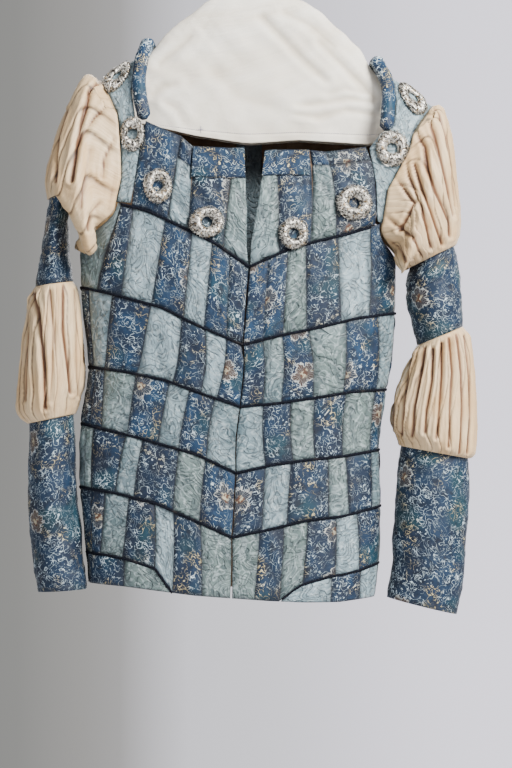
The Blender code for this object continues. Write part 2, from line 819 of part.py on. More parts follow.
def add_sleeve(side_name):
    """Upper puff, arm band, elbow puff and lower sleeve of one arm."""
    coarse = ring_angles(TUBE_COLUMNS, side_name)
    fine = ring_angles(PLEATS * len(PLEAT_SHAPE), side_name)
    band = tube_rings(side_name, "upper_band", coarse, 5)
    lower = tube_rings(side_name, "lower_sleeve", coarse, 6)
    cloth_wall(f"arm_band_{side_name}", band, SLEEVE_WALL, "brocade", closed=True)
    cloth_wall(f"lower_sleeve_{side_name}", lower, SLEEVE_WALL, "brocade", closed=True)
    band_fine = tube_rings(side_name, "upper_band", fine, 5)
    lower_fine = tube_rings(side_name, "lower_sleeve", fine, 6)
    armhole = armhole_ring(side_name, fine)
    starts = [armhole, lifted_off_body(armhole)]
    add_puff(side_name, "upper_puff", starts, hugging_ring(band_fine), UPPER_FADE, fine)
    starts = [band_fine[-1] - (0, 0, SEAM_GAP)]
    add_puff(side_name, "elbow_puff", starts, hugging_ring(lower_fine), ELBOW_FADE, fine)


def hugging_ring(tube):
    """A ring that closes on a tube from outside, a little below the tube's top."""
    ring = tube[1] * 0.5 + tube[0] * 0.5
    return grown(ring, ring.mean(axis=0), SLEEVE_WALL + HUG_CLEARANCE)


def add_bodice():
    for side_name in ("left", "right"):
        points, rise = front_grid(side_name)
        cloth_wall(f"front_{side_name}", points, PANEL_WALL, "quilted_cloth", rise)
        for name, row in SEAM_ROWS.items():
            columns = slice(0, -BRAID_END_COLUMNS if row == 0 else None)
            add_braid(f"braid_{name}_{side_name}", points[row, columns], -1)
        points, rise = yoke_grid(side_name)
        cloth_wall(f"yoke_{side_name}", points, PANEL_WALL, "brocade", rise)
        add_neck_band(side_name, points)
        cloth_wall(f"strap_{side_name}", strap_grid(side_name), PANEL_WALL, "quilted_cloth")
    points, rise = back_grid()
    cloth_wall("back", points, PANEL_WALL, "quilted_cloth", rise)
    for name, row in SEAM_ROWS.items():
        columns = slice(1, -1) if row == 0 else slice(None)
        add_braid(f"braid_{name}_back", points[row, columns], 1)
    cloth_wall("back_yoke", back_yoke_grid(), PANEL_WALL, "brocade")


def add_neck_band(side_name, points):
    """The flat band along the neckline, laid on the yoke."""
    first, last, height = YOKES[side_name]["band"]
    columns = slice((len(STEPS) - 1) * first, (len(STEPS) - 1) * last + 1)
    top = points[0, columns]
    down = points[-1, columns] - top
    down = down / np.linalg.norm(down, axis=1, keepdims=True)
    spots = [top + down * height * share for share in (0.0, 0.5, 1.0)]
    rows = np.array([surface_at(spot[:, 0], spot[:, 2]) for spot in spots])
    away = normals_of(rows)
    low = rows + away * BAND_SEAT
    grid_solid(f"neck_band_{side_name}", low + away * BAND_WALL, low, False, "brocade")


def add_braid(name, line, side):
    """A dark cord along a row seam, three-sided, just off the panel's own points."""
    upper = line + (0, 0, BRAID_WIDTH / 2)
    lower = line - (0, 0, BRAID_WIDTH / 2)
    normal = normals_of(np.array([upper, line, lower]))[1]
    high = line + normal * (BRAID_SEAT + BRAID_RISE)
    sections = np.stack([upper + normal * BRAID_SEAT, high, lower + normal * BRAID_SEAT], axis=1)
    sections[..., 1] = side * np.maximum(side * sections[..., 1], SEAM_GAP)
    prism(name, sections, "braid")


def prism(name, sections, material):
    """A solid lofted through sections of a few points each, closed by a cap at both ends."""
    form = bmesh.new()
    rings = [[form.verts.new(p * MM) for p in section] for section in sections]
    count = len(rings[0])
    for a, b in zip(rings[:-1], rings[1:]):
        for i in range(count):
            n = (i + 1) % count
            form.faces.new((a[i], a[n], b[n], b[i]))
    form.faces.new(rings[0])
    form.faces.new(rings[-1])
    bmesh.ops.recalc_face_normals(form, faces=form.faces)
    mesh = bpy.data.meshes.new(name)
    form.to_mesh(mesh)
    form.free()
    return add_object(name, mesh, material)


def shoulder_point(x, down, lift):
    """A point above the shoulder's front slope, this far down the strap from its ridge."""
    ridge = np.interp(x, RIDGE[:, 0], RIDGE[:, 1])
    angle = down / SHOULDER_CURVE
    below = SHOULDER_DROP * (1 - np.cos(angle))
    point = surface_at(x, ridge - np.abs(below), -1)
    point[1] *= np.sign(angle) if angle else 0
    away = np.array(
        (SHOULDER_SLOPE * np.sign(x) * math.cos(angle), -math.sin(angle), math.cos(angle))
    )
    return point + away / np.linalg.norm(away) * lift


def chest_point(x, z, lift):
    point = surface_at(x, z)
    step = 1.0
    across = surface_at(x + step, z) - surface_at(x - step, z)
    down = surface_at(x, z - step) - surface_at(x, z + step)
    away = np.cross(across, down)
    away = away / np.linalg.norm(away) * (1 if away[1] < 0 else -1)
    return point + away * lift


def add_ring(name, spot_of, x, along, width, height, seat):
    """A wire ornament: a flattened ring that follows the cloth under it."""
    around = np.arange(RING_STEPS) * 2 * math.pi / RING_STEPS
    section = np.arange(RING_SECTION_STEPS) * 2 * math.pi / RING_SECTION_STEPS + math.pi / 10
    rows = []
    for a in around:
        row = []
        for s in section:
            share = 0.5 + 0.5 * math.cos(s)
            dx = math.cos(a) * (RING_HOLE + (width - RING_HOLE) * share) / 2
            dz = math.sin(a) * (RING_HOLE + (height - RING_HOLE) * share) / 2
            lift = seat + RING_THICKNESS * (0.5 + 0.5 * math.sin(s))
            row.append(spot_of(x + dx, along + dz, lift))
        rows.append(row)
    torus_solid(name, np.array(rows), "silver_thread")


def torus_solid(name, points, material):
    form = bmesh.new()
    verts = [[form.verts.new(p * MM) for p in row] for row in points]
    rows, columns = points.shape[:2]
    for r in range(rows):
        for c in range(columns):
            nr, nc = (r + 1) % rows, (c + 1) % columns
            form.faces.new((verts[r][c], verts[r][nc], verts[nr][nc], verts[nr][c]))
    bmesh.ops.recalc_face_normals(form, faces=form.faces)
    mesh = bpy.data.meshes.new(name)
    form.to_mesh(mesh)
    form.free()
    mesh.shade_smooth()
    return add_object(name, mesh, material)


def add_rings():
    for name, (x, z, width, height) in CHEST_RINGS.items():
        seat = STRAP_RING_SEAT if "strap" in name else CHEST_RING_SEAT
        add_ring(name, chest_point, x, z, width, height, seat)
    for name, (x, down, width, height) in SHOULDER_RINGS.items():
        add_ring(name, shoulder_point, x, down, width, height, STRAP_RING_SEAT)


def wire(name, points, radius, material, resolution=2):
    """A tube along a run of points."""
    curve = bpy.data.curves.new(name, "CURVE")
    curve.dimensions = "3D"
    curve.bevel_depth = radius * MM
    curve.bevel_resolution = resolution
    curve.use_fill_caps = True
    spline = curve.splines.new("POLY")
    spline.points.add(len(points) - 1)
    for place, point in zip(spline.points, points):
        place.co = (*(Vector(point) * MM), 1)
    return add_object(name, curve, material)


def add_neck_rolls():
    for name, spots in NECK_ROLLS.items():
        path = np.array(spots, float)
        inner = path[1:-1]
        curve = smooth(np.arange(len(inner)), inner, np.linspace(0, len(inner) - 1, 2 * len(path)))
        dense = np.concatenate([path[:1], curve, path[-1:]])
        wire(name, dense, ROLL_RADIUS, "brocade", resolution=1)


def add_hanger():
    angles = np.arange(COVER_STEPS) * 2 * math.pi / COVER_STEPS
    rings = []
    for z, left, right, depth in COVER:
        middle, half = (left + right) / 2, (right - left) / 2
        c, s = np.cos(angles), np.sin(angles)
        x = middle + half * np.sign(c) * np.abs(c) ** COVER_SQUARENESS
        y = depth * np.sign(s) * np.abs(s) ** COVER_SQUARENESS
        rings.append(np.stack([x, y, z + 0 * x], axis=1))
    hem = rings[-1].copy()
    places = np.array(COVER_HEM, float)
    hem[:, 2] = np.interp(hem[:, 0], places[:, 0], places[:, 1])
    rings.append(hem)
    points = np.array(rings)
    cloth_wall("hanger_cover", points, COVER_WALL, "calico", closed=True)
    bar = np.array(BAR, float)
    dense = smooth(np.arange(len(bar)), bar, np.linspace(0, len(bar) - 1, BAR_STEPS))
    wire("hanger_bar", dense, BAR_RADIUS, "wood", resolution=1)
    middle = CROOK_RADIUS + WIRE_RADIUS
    turns = np.linspace(*CROOK_TURNS, CROOK_STEPS)
    crook = [(middle * math.cos(t), 0, middle * math.sin(t) - CROOK_RADIUS) for t in turns]
    stem = [(x, 0, z) for x, z in HOOK_STEM]
    wire("hanger_hook", stem + crook, WIRE_RADIUS, "steel_wire", resolution=1)


def add_materials():
    for name, (colour, roughness, metallic) in COLOURS.items():
        material = bpy.data.materials.new(name)
        material.use_nodes = True
        shader = material.node_tree.nodes["Principled BSDF"]
        shader.inputs["Base Color"].default_value = (*colour, 1)
        shader.inputs["Roughness"].default_value = roughness
        shader.inputs["Metallic"].default_value = metallic
        material.diffuse_color = (*colour, 1)


def main():
    global collection
    for old in list(bpy.data.objects):
        bpy.data.objects.remove(old)
    collection = bpy.data.collections.new("doublet_on_hanger")
    bpy.context.scene.collection.children.link(collection)
    add_materials()
    add_bodice()
    add_sleeve("left")
    add_sleeve("right")
    add_neck_rolls()
    add_rings()
    add_hanger()


main()
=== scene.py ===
"""The looks of a patchwork doublet with puffed sleeves on a cloth-covered hanger.

Lengths in the tables are millimetres, as in the part's source, and the pieces follow the same forms.
"left" and "right" are as someone in front of the garment sees them.
"""

import json
import math

import bmesh
import bpy
import numpy as np
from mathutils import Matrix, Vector

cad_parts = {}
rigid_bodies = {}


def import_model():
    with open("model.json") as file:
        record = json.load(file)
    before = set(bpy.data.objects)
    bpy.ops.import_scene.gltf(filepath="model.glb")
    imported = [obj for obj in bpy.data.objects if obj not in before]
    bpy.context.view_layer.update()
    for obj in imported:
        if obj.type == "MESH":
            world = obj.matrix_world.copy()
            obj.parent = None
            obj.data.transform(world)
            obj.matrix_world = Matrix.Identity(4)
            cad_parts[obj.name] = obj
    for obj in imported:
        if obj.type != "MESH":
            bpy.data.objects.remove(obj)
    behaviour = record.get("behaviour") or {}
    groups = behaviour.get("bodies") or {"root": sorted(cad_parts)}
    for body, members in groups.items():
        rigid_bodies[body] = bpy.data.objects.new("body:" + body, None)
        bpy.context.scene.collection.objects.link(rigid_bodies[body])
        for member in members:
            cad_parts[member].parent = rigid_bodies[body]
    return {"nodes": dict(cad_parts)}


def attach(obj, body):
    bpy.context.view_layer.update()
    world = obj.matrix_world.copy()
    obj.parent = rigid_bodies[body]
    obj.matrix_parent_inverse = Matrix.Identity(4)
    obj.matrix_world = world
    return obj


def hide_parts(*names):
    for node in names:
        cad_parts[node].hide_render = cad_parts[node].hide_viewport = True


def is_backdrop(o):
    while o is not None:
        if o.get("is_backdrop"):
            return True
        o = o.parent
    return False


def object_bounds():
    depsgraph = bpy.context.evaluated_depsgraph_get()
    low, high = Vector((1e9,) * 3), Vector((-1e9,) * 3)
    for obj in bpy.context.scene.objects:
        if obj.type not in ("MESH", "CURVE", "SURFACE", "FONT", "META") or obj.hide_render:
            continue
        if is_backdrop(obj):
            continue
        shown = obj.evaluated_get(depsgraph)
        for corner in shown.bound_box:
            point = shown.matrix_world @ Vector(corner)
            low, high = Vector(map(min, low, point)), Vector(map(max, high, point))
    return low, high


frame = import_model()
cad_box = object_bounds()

MM = 0.001

# Walls of the cloth and how far pieces stay from each other, as in the solids
PANEL_WALL = 2.2
SLEEVE_WALL = 1.6
COVER_WALL = 1.6
BAND_WALL = 1.2
BAND_SEAT = 1.8
YOKE_GAP = 1.0
SEAM_GAP = 0.4
STRAP_GAP = 0.9
ARMHOLE_GAP = 1.7
UNDERARM_GAP = 2.5
UNDERARM_SPAN = 40.0
ARMHOLE_LIFT = 4.5
FRONT_SLIT = 1.2
BODY_CLEARANCE = 3.0
PUFF_CLEARANCE = 5.2
HUG_CLEARANCE = 0.9
EDGE_FADE = 0.3
CORNER_ALLOWANCE = 30.0

# The bodice's section, how far its depth takes to grow below the shoulder ridge, and how far
# below a row of points its middle is taken to lie
ROUNDNESS = 2.3
SHOULDER_DROP = 80.0
MIDDLE_BELOW = 20.0

# Relief of the patches: how far they puff up, their waves as two wavelengths and a height each,
# the pucker at the row seams, and how close to a seam they come down
PATCH_PUFF = 1.9
PATCH_WAVES = ((26, 75, 0.8), (11, 24, 0.45), (6, 9, 0.2))
PATCH_PUCKER = 0.55
PUCKER_REACH = 0.22
PATCH_ROUNDING = 0.22
ROW_ROUNDING = 0.1
TUCK_SPREAD = 2.6
TUCK_DEPTH = 2.6

# How far over its stuff, in millimetres, the patches are cut from
CUT_SPREAD = (400, 900)

# How far the straps reach over the puffs' edges
STRAP_REACH = 2.2

# Points down and across the smaller pieces, and the least height of a row
YOKE_ROWS = 56
STRAP_COLUMNS = 15
BAND_ROWS = 14
LEAST_ROW = 0.3

# Flat sizes of the cut pieces, width and length in metres, and the least share of one that is used
FLATS = {
    "front": (0.30, 0.50),
    "yoke": (0.18, 0.20),
    "back": (0.50, 0.52),
    "back_yoke": (0.33, 0.22),
    "placket": (0.032, 0.24),
    "strap": (0.08, 0.34),
    "neck_band": (0.075, 0.045),
    "upper_puff": (0.62, 0.26),
    "upper_band": (0.24, 0.15),
    "elbow_puff": (0.62, 0.20),
    "lower_sleeve": (0.26, 0.25),
    "cover": (0.72, 0.20),
}
LEAST_CUT = 0.31

# Seams between patches: their dark line, the shade beside it, and both where two like patches
# meet and at a panel's edge
SEAM_LINE = 0.045
SEAM_SHADE = 0.55
SEAM_SHADE_REACH = 0.13
LIKE_SEAM = 0.55
EDGE_DARK = 0.6
# The shade beside a row seam and how far it reaches, and the uneven wear all over
ROW_SHADE = 0.75
ROW_SHADE_REACH = 0.05
WEAR = 0.1
# Half the width of the seam under a facing, as a share of its patch's length, and its depth
FACING_LINE = 0.016
FACING_DEPTH = 1.4

# Seeds of the pieces' waves. The fronts' rows count up in tens, from 0 and from RIGHT_SEED, and the
# row under each short seam has its own.
RIGHT_SEED = 100
LOW_SEED = 77
SEEDS = {
    "yoke_left": 300,
    "yoke_right": 350,
    "back": 500,
    "back_yoke": 560,
    "placket": 590,
    "strap_left": 700,
    "strap_right": 701,
    "neck_band": 720,
    "upper_band": 810,
    "lower_sleeve": 830,
    "puff": 900,
    "roll": 40,
    "cover": 60,
}

# Bodice sizes by height: z, left side x, right side x, half depth y
BODICE = np.array(
    (
        (-140, -215, 240, 42),
        (-208, -215, 240, 48),
        (-270, -214, 235, 56),
        (-330, -205, 205, 63),
        (-385, -194, 175, 69),
        (-427, -192, 171, 70),
        (-470, -188, 170, 69),
        (-519, -183, 165, 67),
        (-560, -188, 157, 64),
        (-600, -193, 152, 62),
        (-658, -193, 153, 60),
        (-715, -187, 153, 60),
        (-800, -182, 146, 63),
    ),
    float,
)

# Shoulder ridge: x, z from the left tip to the right tip
RIDGE = np.array(((-168, -187), (-112, -151), (150, -171), (213, -216)), float)

# Heights of the seams between rows, at these shares of the way from the centre front to each side
LINE_SHARES = (-1.0, -0.75, -0.5, -0.25, 0.0, 0.25, 0.5, 0.75, 1.0)
FRONT_LINES = {
    "a": (-330, -341, -359, -378, -404, -387, -375, -366, -354),
    "b": (-427, -438, -451, -474, -494, -483, -474, -463, -457),
    "c": (-519, -525, -534, -550, -565, -561, -555, -548, -545),
    "d": (-585, -595, -607, -620, -641, -632, -626, -622, -615),
    "e": (-658, -665, -676, -695, -715, -706, -696, -691, -680),
    "hem": (-769, -772, -777, -782, -785, -788, -790, -790, -785),
}
LINE_NAMES = tuple(FRONT_LINES)

# The tops of two yoke patches are of the blue stuff: the patch, how far down, and the last patch crossed
YOKE_FACINGS = {"left": (2, 0.26, 2), "right": (2, 0.17, 3)}
ARMHOLE_CORNERS = {"left": -149.5, "right": 154.0}
ARMPITS = {"left": -385.0, "right": -399.0}

# The short seam near the hem on each side: x, z from its inner end on the hem outwards
LOW_SEAMS = {
    "left": ((-86, -779), (-106, -751), (-141, -740), (-163, -736), (-190, -733)),
    "right": ((37, -788), (61.5, -770), (97, -760), (111.5, -758), (131, -753), (156, -744)),
}

# Patch seams of each row, from the centre front outwards: x along its top and bottom lines.
# Each letter is a patch, b for brocade and l for the light quilted cloth.
FRONT_ROWS = {
    "left": (
        ("bblblbl", (2, -20, -40, -63, -94, -131, -145), (-5, -24, -50, -73, -110, -145, -173)),
        ("blblblb", (-5, -24, -48, -75, -110, -155, -183), (-8, -35, -53, -86, -127, -165, -178)),
        ("lblblbb", (-8, -37, -66, -89, -128, -165, -175), (-13, -47, -79, -102, -138, -168, -182)),
        ("blblbll", (-13, -48, -78, -120, -139, -177, -185), (-18, -55, -85, -131, -152, -180, -187)),
        ("lblblbb", (-18, -54, -85, -106, -136, -163, -180), (-19, -52, -86, -106, -143, -168, -178)),
    ),
    "right": (
        ("bblblb", (3, 24, 47, 67, 104, 142), (-5, 18, 41, 68, 108, 140)),
        ("blblbl", (-5, 18, 40, 70, 113, 150), (-8, 18, 39, 76, 110, 149)),
        ("lblblb", (-8, 18, 50, 77, 114, 148), (-13, 21, 53, 78, 110, 142)),
        ("blblbl", (-13, 21, 50, 93, 113, 143), (-18, 17, 45, 94, 117, 144)),
        ("lblblb", (-18, 14, 42, 69, 102, 126), (-18, 8, 37, 62, 99, 126)),
    ),
}

# The patches below the short seams: letters, x along the seam and along the hem
LOW_ROWS = {
    "left": ("lb", (-106, -141), (-86, -142)),
    "right": ("lbl", (40, 97, 131), (39, 96, 129)),
}

# Yokes above the first row seam: x along the neckline and the seam, and the neckline's height
YOKES = {
    "left": {
        "patches": "lblb",
        "top": (-3, -16, -62, -76, -117),
        "bottom": (2, -27, -68, -91, -133),
        "neckline": (-267, -268, -266, -254, -236),
        "tuck": 2,
        "band": (0, 2, 36),
    },
    "right": {
        "patches": "lblb",
        "top": (20, 30, 71, 90, 136),
        "bottom": (3, 37, 73, 102, 147),
        "neckline": (-271, -270, -270, -272, -266),
        "tuck": 2,
        "band": (0, 2, 30),
    },
}

# Straps from the ridge down to the first row seam: inner x, inner z, outer x, outer z
STRAPS = {
    "left": np.array(
        (
            (-123, -158, -168, -187),
            (-131, -174, -161, -200),
            (-133.8, -200, -149, -224),
            (-129, -235, -146, -244),
            (-119, -245, -145.5, -252),
            (-124, -268, -144, -275),
            (-129, -300, -143.5, -302),
            (-134.4, -331, -149.5, -330),
        ),
        float,
    ),
    "right": np.array(
        (
            (158.5, -177, 213, -216),
            (169.5, -190, 203, -229),
            (172.4, -212, 190, -247),
            (169, -241, 187, -262),
            (154, -250, 184, -271),
            (140.5, -268, 176, -286),
            (148.4, -310, 160, -315),
            (150, -352, 154, -354),
        ),
        float,
    ),
}

# The back: patches in a row, how far its seams dip in the middle, and its neckline's ends
BACK_PATCHES = 12
YOKE_STRIPS = 10
END_BEND = 14
PLACKET_SPAN = (-13.0, 17.0)
PLACKET_HEIGHTS = (-188.0, -420.0)
BACK_DIP = 22.0
BACK_NECK = (-110.0, 145.0)
BACK_NECK_GAP = 1.2

# Neck roll by its middle line: x, y, z
ROLL_RADIUS = 8.0
NECK_ROLLS = {
    "neck_roll_left": (
        (-115.5, -0.9, -145),
        (-115.8, -9, -145.6),
        (-122, -21, -163),
        (-125, -33, -190),
        (-123, -40, -212),
        (-119, -44.5, -231),
    ),
    "neck_roll_back": (
        (-115.5, 0.9, -145),
        (-115.3, 9, -145.6),
        (-104, 25, -168),
        (-60, 37, -187),
        (10, 42, -196),
        (90, 41, -199),
        (138, 30, -195),
        (150.4, 9, -166.6),
        (150.5, 0.9, -166),
    ),
    "neck_roll_right": (
        (150.5, -0.9, -166),
        (150.7, -9, -166.6),
        (160, -22, -186),
        (163.5, -33, -209),
        (160.5, -42, -239),
    ),
}

# Sleeves by sections from the top: the outer and inner edges' x and z, how far the section
# reaches to the front and the back, and y of the inner edge
SLEEVE_COLUMNS = ("outer_x", "outer_z", "inner_x", "inner_z", "front", "back", "inner_y")
SLEEVES = {
    "left": {
        "upper_puff": (
            (-188, -181, -176, -378, -54, 46, -36),
            (-208, -217, -178, -389, -66, 52, -52),
            (-223, -258, -184, -388, -66, 50, -46),
            (-233, -296, -191, -366, -60, 50, -24),
        ),
        "upper_band": (
            (-228, -312, -203, -306, -42, 38, -4),
            (-233, -345, -207, -340, -44, 40, -2),
            (-239, -382, -207, -378, -45, 41, 0),
            (-246, -426, -202, -420, -44, 40, 0),
        ),
        "elbow_puff": (
            (-252, -440, -197, -432, -48, 44, 0),
            (-256, -470, -193, -462, -54, 50, 0),
            (-261, -505, -189, -495, -57, 53, 0),
            (-265, -545, -190, -535, -58, 54, 0),
            (-266, -570, -195, -556, -54, 50, 0),
        ),
        "lower_sleeve": (
            (-252, -560, -204, -546, -42, 38, 0),
            (-254, -622, -199, -616, -44, 40, 0),
            (-254, -690, -196, -682, -42, 38, 0),
            (-248, -750, -188, -742, -38, 34, 0),
            (-243, -780, -184, -776, -36, 32, 0),
        ),
    },
    "right": {
        "upper_puff": (
            (224, -218, 172, -392, -56, 46, -34),
            (234, -250, 177, -408, -68, 54, -48),
            (240, -300, 178, -411, -68, 54, -42),
            (245, -348, 180, -404, -61, 50, -28),
        ),
        "upper_band": (
            (238, -372, 192, -392, -44, 38, 0),
            (243, -392, 184, -424, -46, 40, 0),
            (248, -425, 186, -450, -46, 41, 0),
            (250, -472, 197, -494, -44, 40, 0),
        ),
        "elbow_puff": (
            (256, -486, 192, -505, -48, 44, 0),
            (260, -515, 182, -530, -54, 50, 0),
            (263, -552, 170, -562, -58, 54, 0),
            (264, -592, 168, -586, -58, 54, 0),
            (262, -620, 174, -598, -54, 50, 0),
        ),
        "lower_sleeve": (
            (254, -606, 182, -592, -43, 39, 0),
            (258, -655, 174, -640, -45, 41, 0),
            (254, -718, 170, -700, -43, 39, 0),
            (250, -770, 167, -750, -40, 36, 0),
            (243, -806, 162, -786, -38, 34, 0),
        ),
    },
}

# Wire ornaments: x, z, outer width, outer height; the shoulder ones give how far down the strap
# they sit instead of z
CHEST_RINGS = {
    "ring_chest_left_outer": (-102, -312, 33, 40),
    "ring_chest_left_inner": (-46, -354, 40, 36),
    "ring_chest_right_inner": (53, -367, 34, 36),
    "ring_chest_right_outer": (122, -331, 42, 40),
    "ring_strap_left": (-131.5, -252, 28, 40),
    "ring_strap_right": (166, -268, 38, 42),
}
SHOULDER_RINGS = {
    "ring_shoulder_left": (-150.5, 24, 32, 34),
    "ring_shoulder_right": (191, 24, 33, 36),
}
# Their hole and thickness, how far they stand off the cloth, and the curve of the shoulder
RING_HOLE = 12.0
RING_THICKNESS = 7.0
CHEST_RING_SEAT = 1.2
STRAP_RING_SEAT = 0.1
SHOULDER_CURVE = 50.0
SHOULDER_SLOPE = 0.25

# Hanger cover by height: z, left x, right x, half depth
COVER = np.array(
    (
        (-80, 5.0, 13.0, 4.0),
        (-84, -14, 34, 6),
        (-89, -34, 54, 8),
        (-96, -48, 68, 11),
        (-118, -79.4, 97.4, 14.4),
        (-134, -95.4, 115.4, 16.4),
        (-150, -108.4, 128.4, 17.4),
        (-170, -129.4, 142.4, 18.4),
        (-194, -152.4, 160.4, 20.4),
        (-216, -158, 181, 21),
        (-236, -160, 189, 22),
    ),
    float,
)
COVER_HEM = ((-170, -226), (-60, -252), (0, -261), (60, -257), (140, -262), (210, -252))
COVER_SQUARENESS = 0.8

# Creases, listed one by one: x, z spots, then depth and width. A low ridge runs on both sides of each.
CREASE_STRENGTH = 1.25
CREASE_SHOULDER = 0.35
CREASES = {
    "upper_left": (
        (((-172, -190), (-182, -204), (-190, -235), (-195, -259), (-201, -306)), 5, 3.2),
        (((-160, -217), (-176, -232), (-186, -248), (-194, -263)), 3, 3),
        (((-153, -256), (-164, -279), (-167, -302)), 4, 2.6),
        (((-208, -222), (-217, -253), (-220, -307)), 3, 2.2),
        (((-150, -285), (-155, -314), (-160, -342)), 2.2, 2.4),
        (((-170, -331), (-181, -344), (-182, -363)), 2.2, 3),
        (((-181, -270), (-187, -302), (-190, -337)), 1.8, 4),
        (((-164, -199), (-158, -222)), 1.5, 3),
    ),
    "upper_right": (
        (((207, -227), (216, -255), (225, -290), (231, -319), (236, -345)), 4, 2.6),
        (((193, -248), (204, -266), (207, -294), (216, -319), (231, -352), (232, -368)), 4.5, 3),
        (((192, -286), (200, -316), (210, -342), (223, -378)), 4, 2.6),
        (((167, -296), (178, -312), (192, -331), (184, -348), (175, -363)), 3.6, 2.6),
        (((181, -270), (186, -300), (199, -334), (210, -382)), 3.4, 2.6),
        (((217, -222), (229, -253), (235, -293), (239, -334)), 2.6, 2.2),
        (((158, -345), (170, -355), (190, -371), (199, -391)), 2.6, 3),
        (((162, -374), (174, -381), (182, -399)), 2.4, 2.6),
    ),
    "elbow_left": (
        (((-246, -435), (-240, -457), (-237, -478), (-233, -523), (-232, -566)), 4.5, 3),
        (((-212, -423), (-212, -478), (-207, -518), (-204, -549)), 4, 2.4),
        (((-193, -450), (-190, -483), (-190, -515)), 2.5, 2.2),
        (((-227, -431), (-223, -477), (-224, -523), (-227, -558)), 2.4, 2.6),
        (((-252, -454), (-253, -500), (-255, -558)), 2.6, 2.2),
        (((-201, -431), (-198, -477), (-197, -552)), 2.2, 2.4),
    ),
    "elbow_right": (
        (((185, -477), (178, -512), (171, -552), (169, -590)), 3.6, 2.2),
        (((195, -486), (189, -518), (182, -558), (179, -597)), 3.8, 2.2),
        (((205, -498), (200, -529), (193, -564), (190, -599)), 3.8, 2.2),
        (((214, -499), (212, -535), (206, -569), (204, -595)), 3.8, 2.2),
        (((223, -492), (223, -529), (220, -569), (217, -601)), 3.8, 2.2),
        (((232, -486), (235, -526), (232, -569), (231, -611)), 3.8, 2.2),
        (((241, -482), (246, -526), (246, -572), (244, -618)), 3.8, 2.2),
        (((250, -484), (255, -529), (256, -575), (253, -618)), 3.2, 2.2),
    ),
    "cover": (
        (((17, -115), (40, -139), (64, -164), (90, -187)), 3.0, 5),
        (((61, -217), (90, -213), (118, -208), (144, -212)), 2.4, 4),
        (((56, -227), (84, -231), (113, -222), (146, -227)), 2.0, 4),
        (((95, -204), (113, -197), (132, -201)), 1.8, 4),
        (((-102, -167), (-86, -155), (-66, -137)), 2.2, 6),
        (((-109, -204), (-98, -194), (-84, -192)), 2.0, 5),
        (((-94, -213), (-82, -220), (-72, -238)), 2.0, 5),
        (((84, -144), (107, -167), (130, -190), (148, -208)), 2.6, 5),
        (((44, -109), (72, -123), (101, -148)), 2.0, 6),
        (((-37, -178), (-8, -207), (26, -217)), 1.2, 9),
    ),
}

# Where a patch is cut into columns and a row into rows of points: close together at the seams
FINE = (0.0, 0.03, 0.07, 0.13, 0.22, 0.36, 0.5, 0.64, 0.78, 0.87, 0.93, 0.97, 1.0)
FINE_ROWS = (0, 0.01, 0.025, 0.05, 0.09, 0.15, 0.22, 0.3, 0.38, 0.46)
FINE_ROWS += (0.54, 0.62, 0.7, 0.78, 0.85, 0.91, 0.95, 0.975, 0.99, 1)
PATCH_STEPS = len(FINE) - 1
LETTERS = {"b": "brocade", "l": "quilted_cloth"}

# Pleats round each puff, and how deep they are
PLEATS = {"upper_puff_left": 14, "upper_puff_right": 22, "elbow_puff_left": 18, "elbow_puff_right": 23}
PLEAT_DEPTH = {
    "upper_puff_left": 2.7,
    "upper_puff_right": 3.3,
    "elbow_puff_left": 3.4,
    "elbow_puff_right": 4.0,
}
# How their widths and heights vary, how high each starts over the last and rises, first evenly and
# then faster, and the shares of its width in which it climbs and falls
PLEAT_WIDTHS = (0.6, 1.4)
PLEAT_HEIGHTS = (0.55, 1.0)
PLEAT_START = 0.3
PLEAT_RISE = (0.5, 0.2)
PLEAT_CLIMB = 0.86
PLEAT_FALL = 0.12
# Rings closer together than this share of their mean distance have shallower pleats
CROWDING = 0.85
CROWDED_LEAST = 0.12
CROWDED_POWER = 1.3
SPREAD_SMOOTHING = 12
# Where the pleats fade at a puff's top and bottom: the share of its length, and a power
PUFF_FADES = ((0.12, 0.7), (0.09, 0.6))

# Points round and along a puff, and how much cloth lies between two columns
PUFF_COLUMNS = 300
PUFF_ROWS = 64
PUFF_CLOTH = 1.9

# Points round and along a plain sleeve tube, and its waves: how many round it, how many along it,
# and their height
TUBE_COLUMNS = 72
TUBE_ROWS = 60
TUBE_WAVES = ((2, 4, 0.9), (5, 11, 0.35))
# How near its ends a tube is smooth, how dark the painted shade on its top under the puff is, and how dark
# the turn of its hem and its seam are
TUBE_FADE = 0.06
TUBE_TOP_SHADE = 0.5
TUBE_HEM_DARK = 0.35
TUBE_SEAM_DARK = 0.35

# Where a cuff's opening and a sleeve's long seam lie round it, as shares from the outer edge,
# where the opening starts along the sleeve and how gently, how dark the painted shade in it is, and how
# deep the cloth sinks at it and beside it
VENT_SHARE = {"left": 0.55, "right": 0.11}
SEAM_SHARE = 0.4
VENT_START = 0.68
VENT_FADE = 0.02
VENT_SHADE = 0.85
VENT_DEPTHS = ((0, 1.6), (-1, 0.7), (1, 0.7))

# Braid: its width and height, how far it stands off the cloth, how far apart its sections are and
# how many points each has, the length of one twist, and how far its strands stand out
BRAID_WIDTH = 2.9
BRAID_RISE = 2.1
BRAID_SEAT = 0.5
BRAID_STEP = 1.5
BRAID_SIDES = 9
BRAID_TWIST = 7.0
BRAID_LOBE = 0.16
BACK_BRAID_POINTS = 61

# Wire ornaments: turns of wire round each, points in a turn, the wire's sides and radius, and how
# many times it goes round the whole ring
WIRE_TURNS = 130
WIRE_POINTS = 11
WIRE_SIDES = 4
WIRE_RADIUS = 0.36
WIRE_LAPS = 3
# No wire runs along this direction, so it gives every wire a side
WIRE_ACROSS = (0.31, -0.83, 0.46)
